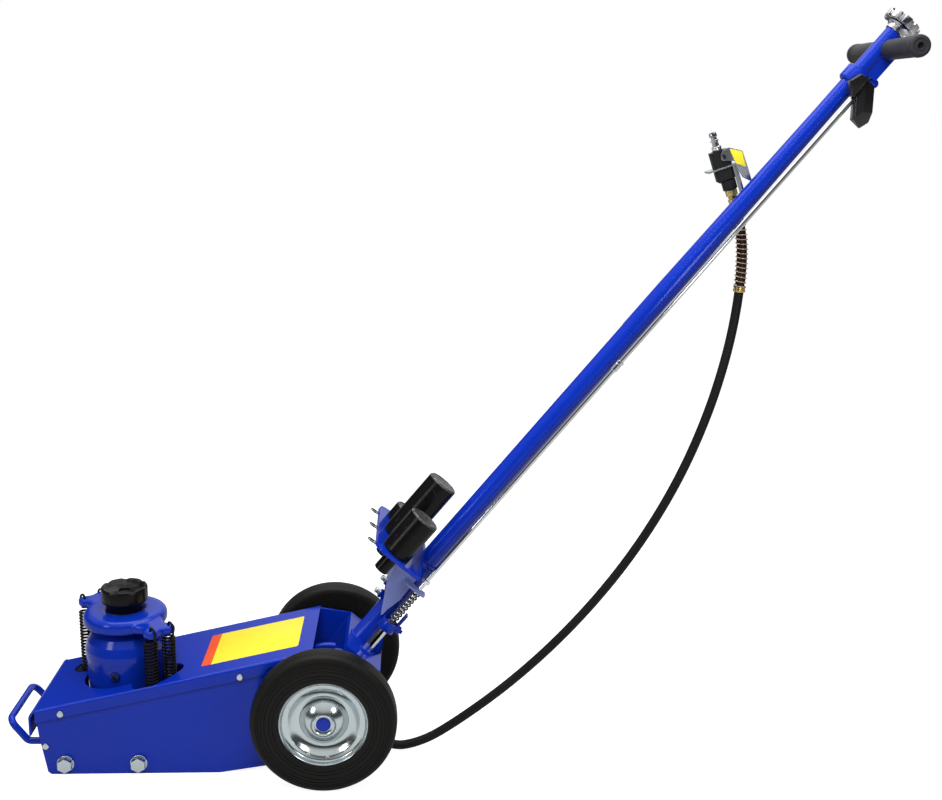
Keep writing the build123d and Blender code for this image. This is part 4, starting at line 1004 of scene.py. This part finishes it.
# %% [markdown]
# Each adapter is kept by an R-shaped spring clip of bent wire: one straight leg through the
# spigot, a curl at the top, and a waved leg that snaps round the outside. One wire through all of
# its bends is how the real clip is made, and it is the simplest way here too.

# %% Spring clips
clip_s = 222.5
waved_leg_drop = 1.2
clip_bends = [(0, 46), (0, 70), (0, 96), (1, 101), (4, 104.5), (7.5, 103), (7.5, 99), (4, 97.5),
              (1.5, 100.5), (3.5, 106), (9, 107.5), (12.8, 103), (13.4, 96), (12.2, 88), (12.8, 78),
              (12, 68), (12.8, 58), (15.5, 53)]
clips = []
for across in (65.0, 0.0, -65.0):
    path = [on_handle(clip_s - (waved_leg_drop if out > 1 else 0), across + out, up)
            for out, up in clip_bends]
    clips.append(wire(path, 0.9))
clip_set = finished(joined(clips), "spring_clips", None, spring_steel, 60)
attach(clip_set, "handle")
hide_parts("adapter_clips")

# %% [markdown]
# The upper tube is swaged: a short straight foot, a long taper and a slim straight top. Turned as
# one even profile, it takes a long clean highlight, and its mouth gets a softened rim.

# %% Upper tube
tube_profile = [(9.3, 1190), (11.4, 1190), (11.9, 1189.5), (11.9, 1056), (14.9, 740), (14.9, 668.5),
                (14.4, 668), (12.3, 668), (12.3, 740), (9.3, 1056), (9.3, 1190)]
tube = finished(turned(tube_profile), "drawn_tube", handle_frame, blue_coat, 40)
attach(tube, "handle")
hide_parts("upper_tube")

# %% [markdown]
# The grips are moulded rubber sleeves pushed on the bar. Each has a fine grain, a groove, and a
# rounded collar at its outer end with a drain hole in the middle. The grain is a bump in the
# finish, because it is too fine to show in outline. The rest is one turned profile.

# %% Grips
grip_rubber = rubber("grip_rubber", (0.026, 0.026, 0.030), (0.040, 0.040, 0.046), 0.42, 520.0, 0.2)
bar_middle = on_handle(1167.7, 0, 0)
grip_profile = [(0, 112), (9.05, 112), (9.05, 14.6), (12.4, 14.6), (13.2, 15.4), (13.4, 17),
                (13.4, 101.6), (12.9, 102.6), (12.9, 103.6), (13.8, 104.8), (14.2, 107),
                (14.2, 112.6), (13.7, 115.4), (12.6, 117.2), (11, 118), (9.2, 118), (8.6, 117.4),
                (6, 117.3), (5.4, 118), (4.6, 118), (4, 117), (3.9, 112.4), (0, 112.2)]
grip = finished(turned(grip_profile, 64), "grip_left", frame_of(bar_middle, -right, up_handle),
                grip_rubber, 40)
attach(grip, "handle")
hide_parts("hand_grips")
mirrored_copy(grip, "grip_right", "handle")

# %% [markdown]
# The release knob is a chromed casting with nine broad lobes. Nine cylinders joined to a disc
# would leave creases between them. So the lobes are pulled out of a plain disc: the side faces
# are picked in groups by their angle, extruded and scaled outward.

# %% Release knob
lobes = 9
lobe_angle = 25
lobe_reach = 1.19
knob_low = 1200.15
knob_high = 1212.1
knob_mid = (knob_low + knob_high) / 2


def pick_faces(piece, wanted):
    """Goes to edit mode with those faces selected whose centre (mm) and normal pass a test."""
    bpy.ops.object.mode_set(mode="OBJECT")
    select_only(piece)
    bpy.ops.object.mode_set(mode="EDIT")
    bpy.ops.mesh.select_mode(type="FACE")
    bpy.ops.mesh.select_all(action="DESELECT")
    bpy.ops.object.mode_set(mode="OBJECT")
    for face in piece.data.polygons:
        face.select = wanted(face.center / MM, face.normal)
    bpy.ops.object.mode_set(mode="EDIT")


def in_lobe(centre, normal):
    around = math.degrees(math.atan2(centre.y, centre.x)) % (360 / lobes)
    return abs(normal.z) < 0.5 and around < lobe_angle


deselect()
bpy.ops.mesh.primitive_cylinder_add(vertices=72, radius=21.2 * MM, location=(0, 0, knob_mid * MM),
                                    depth=(knob_high - knob_low) * MM)
bpy.ops.object.transform_apply(location=True, rotation=False, scale=False)
knob = bpy.context.object
pick_faces(knob, in_lobe)
bpy.ops.mesh.extrude_region_move(TRANSFORM_OT_translate={"value": (0, 0, 0)})
bpy.ops.transform.resize(value=(lobe_reach, lobe_reach, 1), center_override=(0, 0, knob_mid * MM))
pick_faces(knob, lambda centre, normal: abs(normal.z) > 0.9 and centre.xy.length < 5)
bpy.ops.mesh.inset(thickness=4.2 * MM, depth=-1.6 * MM, use_individual=True)
bpy.ops.mesh.inset(thickness=6.5 * MM, depth=1.4 * MM, use_individual=True)
bpy.ops.object.mode_set(mode="OBJECT")
round_edges(knob, 0.9, 3)
finished(knob, "lobed_knob", handle_frame, chrome, 40)
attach(knob, "release_knob")
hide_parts("release_knob")

# %% [markdown]
# Below the knob a chromed collar with a waist closes the top of the tube. It stays with the
# handle while the knob turns above it.

# %% Knob collar
hub_profile = [(0, 1190.1), (13.2, 1190.1), (13.8, 1190.8), (13.8, 1192.8), (13, 1193.6),
               (13, 1197.6), (14.4, 1199), (16.4, 1200), (0, 1200)]
hub = finished(turned(hub_profile, 64), "knob_collar", handle_frame, chrome, 32)
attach(hub, "handle")
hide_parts("hub_nut")

# %% [markdown]
# The trigger is a glossy moulded lever: a wedge-shaped head at the top left, and a finger piece
# with a ridge down its front and a blunt pointed toe. Its faces are flat, so sculpting would only
# soften them. Both are cut from blocks with planes, as a pattern maker would, their edges are
# rounded, and the two are made one.

# %% Trigger
def planes_at(point, *ways):
    """Planes through one point, each with its outward direction."""
    return [(point, way) for way in ways]


glossy_plastic = rubber("glossy_plastic", (0.006, 0.006, 0.006), (0.011, 0.011, 0.012), 0.10,
                        240.0, 0.08, 0.45)
roof = ((-0.62, 0, 0.78), (0.57, 0, 0.82))
ridge = planes_at((996, -43.6, 920), (-0.55, -0.84, 0), (0.30, -0.95, 0))
toe = (planes_at((1000, -30, 896.5), (-0.66, 0, -0.75), (0.59, 0, -0.80))
       + planes_at((996, -43.6, 918), (0.20, -0.72, -0.66)))
finger = cut_block((987, -43.6, 888), (1011, -20, 968),
                   ridge + toe + planes_at((990, -30, 966), *roof))
round_edges(finger, 2.2, 4, 20)
underside = [((983, -26, 936), (0.84, 0, -0.54)), ((981.5, -30, 938.5), (-0.62, 0, -0.78))]
front = [((994, -48.4, 950), (-0.50, -0.87, 0)), ((996, -48.4, 950), (0.50, -0.87, 0))]
head = cut_block((979.5, -48.4, 934), (1006, -19, 968),
                 planes_at((990, -30, 966.4), *roof) + underside + front)
round_edges(head, 1.6, 3, 20)
select_only(finger)
union = finger.modifiers.new("head", "BOOLEAN")
union.operation = "UNION"
union.object = head
bpy.ops.object.modifier_apply(modifier="head")
bpy.data.objects.remove(head)
trigger = finished(finger, "trigger_body", None, glossy_plastic, 40)
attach(trigger, "trigger")
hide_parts("trigger_lever")

# %% [markdown]
# The air valve ends in a chromed steel nipple that a hose coupling snaps on. It is bar work with
# two grooves and a bore, so it is turned.

# %% Nipple
nipple_profile = [(0, 0.2), (6.4, 0.2), (6.7, 0.8), (6.7, 6.2), (6.2, 6.8), (4.7, 7.2), (4.4, 13),
                  (5.8, 13.8), (5.8, 15.4), (4.2, 16.2), (4.2, 19.6), (5.4, 20.6), (5.4, 23.6),
                  (4.6, 26), (2.6, 26), (2.4, 18), (0, 18)]
nipple_frame = frame_of(on_valve(-3, 0, 76), up_valve, off_valve)
nipple = finished(turned(nipple_profile, 48), "nipple_grooved", nipple_frame, chrome,
                  32)
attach(nipple, "handle")
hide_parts("air_nipple")

# %% [markdown]
# At the valve's foot a brass fitting takes the hose. Its two hexagons could be cut from
# cylinders, but a turned piece with only six sides is a hexagon already, chamfers and all.

# %% Fitting
upper_hex = turned([(0, 11.6), (7.8, 11.6), (8.6, 12.2), (8.6, 20.2), (7.8, 20.9), (0, 20.9)], 6)
lower_hex = turned([(0, 0.4), (7.0, 0.4), (7.8, 1.0), (7.8, 7.0), (7.0, 7.6), (0, 7.6)], 6)
for hexagon in (upper_hex, lower_hex):
    round_edges(hexagon, 0.35)
barrel = turned([(0, 6.8), (5.6, 6.8), (5.6, 8.4), (6.5, 8.8), (6.5, 10.4), (5.6, 10.8),
                 (5.6, 12.2), (0, 12.2)], 48)
fitting = finished(joined([upper_hex, lower_hex, barrel]), "fitting_hexes", valve_frame, brass,
                   32)
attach(fitting, "handle")
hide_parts("valve_fitting")

# %% [markdown]
# The thumb lever of the valve is one piece of sheet, folded a little along a line beside its
# pivot. It could be built in its folded shape, but it is easier to follow the press brake: cut it
# flat, split it along the fold, and turn the part beyond the line about it.

# %% Valve lever
lever_outline = [(-4.4, 66), (-2.5, 62), (5, 60.2), (13.4, 56.8), (14, 46), (18, 32), (28.6, 22.5),
                 (28.4, 44), (27.2, 67), (10.4, 77.2), (2, 76), (-3.2, 71.5)]
lever = cut_sheet(lever_outline, 1.8, 1.2, 0.35)
fold_angle = math.radians(-9)
fold_top = Vector((10.0, 77.0, 0)) * MM
fold_way = (Vector((13.0, 52.0, 0)) * MM - fold_top).normalized()
fold_side = Vector((-fold_way.y, fold_way.x, 0))
with editing():
    bpy.ops.mesh.bisect(plane_co=fold_top, plane_no=fold_side)
fold_turn = (Matrix.Translation(fold_top) @ Matrix.Rotation(fold_angle, 4, fold_way)
             @ Matrix.Translation(-fold_top))
for vertex in lever.data.vertices:
    if (vertex.co - fold_top).dot(fold_side) < -MERGE:
        vertex.co = fold_turn @ vertex.co
lever_zinc = plated("lever_zinc", (0.54, 0.56, 0.59), (0.44, 0.46, 0.50), 0.30, 0.40, 30.0)
lever_face = frame_of(on_valve(0, -10.1, 0), -right, off_valve)
finished(lever, "lever_sheet", lever_face, lever_zinc, 20)
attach(lever, "valve_lever")
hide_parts("valve_lever")

# %% [markdown]
# A blank yellow patch sits on the lever's wide face, where a small label would be. It is a sheet
# of the lid's vinyl without the strip, just proud of the zinc so that the two don't fight.

# %% Blank patch
patch_face = frame_of(on_valve(0, -11.92, 0), -right, off_valve)
patch = cut_sheet([(11.2, 75.0), (14.0, 53.4), (25.8, 44.6), (26.3, 66.2)], 0.3, 1.0, 0.1)
finished(patch, "blank_patch", patch_face, vinyl("patch_vinyl", 0.0))
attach(patch, "valve_lever")

# %% [markdown]
# Where the post, the tray, the head and the bail are welded, a bead of metal runs round the
# joint. A bump can't stand out of a corner, so a bead is a wire that swells and narrows from
# point to point, like the ripples that each drop of the weld leaves, painted over with the rest.

# %% Weld beads
ripple = 1.3
bar_weld_y = 11.6


def bead_round(frame_at, radius, height, thick, start=0, sweep=360):
    """A rippled bead round a frame's Z axis, in millimetres, over part of a circle."""
    ripples = 2 * math.pi * radius / ripple
    ring = coil(radius, height, height, sweep / 360, upright, start, ripples)
    return wire([frame_at @ point for point in ring], thick, 2, (1.0, 0.74))


round_handle = ((16.0, 80.6, 1.9), (15.6, 231.6, 1.5), (16.0, 225.2, 1.6), (12.6, 1104.2, 1.1),
                (12.6, 1126.0, 1.1), (14.9, 668.0, 0.5))
handle_beads = [bead_round(handle_frame, *sizes) for sizes in round_handle]
bail_beads = []
for side in (-1, 1):
    bar_side = frame_of(bar_middle + right * side * bar_weld_y * MM, right * side, off_handle)
    handle_beads.append(bead_round(bar_side, 9.4, 0, 1.2, 60, 240))
    bail_end = frame_of(Vector((-104.6, side * 59.0, 38.7)) * MM, Vector((-1, 0, 0)), right)
    bail_beads.append(bead_round(bail_end, 5.6, 0, 1.4))
welds = finished(joined(handle_beads), "handle_welds", None, blue_coat, 60)
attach(welds, "handle")
bail_welds = finished(joined(bail_beads), "bail_welds", None, blue_coat, 60)
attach(bail_welds, "chassis")

# %% [markdown]
# The latch rod is made in two lengths, joined by a small threaded sleeve with a lock nut. Its
# thread is hidden, so sleeve and nut are one turned piece on the rod's own line, and slide with
# it.

# %% Rod sleeve
sleeve_profile = [(3.4, 612), (4.6, 612), (5, 612.6), (5, 622.4), (4.6, 623), (4.2, 623),
                  (4.2, 624), (5.4, 624.4), (5.4, 628), (5, 628.4), (3.4, 628.4), (3.4, 612)]
rod_sleeve = finished(turned(sleeve_profile, 32), "rod_sleeve", latch_frame, chrome,
                      32)
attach(rod_sleeve, "latch")

# %% [markdown]
# The floor is a plain pale sheet, so wide that its edge is never seen. A white sheet alone would
# turn grey away from the lamps. So the camera sees it a little brighter than it lights the jack,
# and it melts into the white background and still keeps the shadow under the wheels.

# %% Floor
floor_finish = Finish("studio_floor")
floor_path = floor_finish.node("ShaderNodeLightPath")
seen = floor_path.out("Is Camera Ray") + floor_path.out("Is Glossy Ray") * 0.15
floor_glow = floor_finish.mix(seen, (0, 0, 0), (0.90, 0.90, 0.90))
floor_coat = floor_finish.set(color=(0.50, 0.50, 0.50), roughness=0.9, specular=0.0,
                              glow=floor_glow, glow_strength=1.0)
deselect()
bpy.ops.mesh.primitive_plane_add(size=60, location=(0, 0, -0.4 * MM))
floor = bpy.context.object
floor.name = "studio_floor"
floor.data.materials.append(floor_coat)

# %% [markdown]
# The room is white to the camera and a dim fill to everything else. Polished metal sees a third
# room: dark at its own level, pale overhead, and with a bright wall behind it, which is what
# gives paint and chrome their contrast. The picture is shown as it is lit, with no film curve.

# %% Background
fill = 0.24
world = bpy.data.worlds.new("studio_world")
bpy.context.scene.world = world
room = Network(world)
way = room.node("ShaderNodeSeparateXYZ", None,
                {0: room.node("ShaderNodeTexCoord").out("Generated")})


def rise(part, low, high):
    """Rises smoothly from 0 to 1 as a part of the direction goes from low to high."""
    return room.node("ShaderNodeMapRange", {"interpolation_type": "SMOOTHSTEP"},
                     {"Value": part, "From Min": low, "From Max": high})


overhead = room.ramp(way.out("Z"), (0.0, 0.10), (0.16, 0.04), (0.38, 0.06), (0.60, 0.60),
                     (1.0, 0.9))
back_wall = rise(way.out("Y"), 0.55, 0.85) * rise(way.out("X"), -0.40, -0.16)
room_path = room.node("ShaderNodeLightPath")
mirrored = room_path.out("Is Glossy Ray")
plain = room_path.out("Is Camera Ray") * (1 - fill) + fill
sky = room.tree.nodes["Background"]
room.feed(sky.inputs["Color"], (1, 1, 1))
room.feed(sky.inputs["Strength"], plain * (1 - mirrored) + (back_wall * 0.75 + overhead) * mirrored)
bpy.context.scene.view_settings.view_transform = "Standard"
print("room nodes:", len(room.tree.nodes))
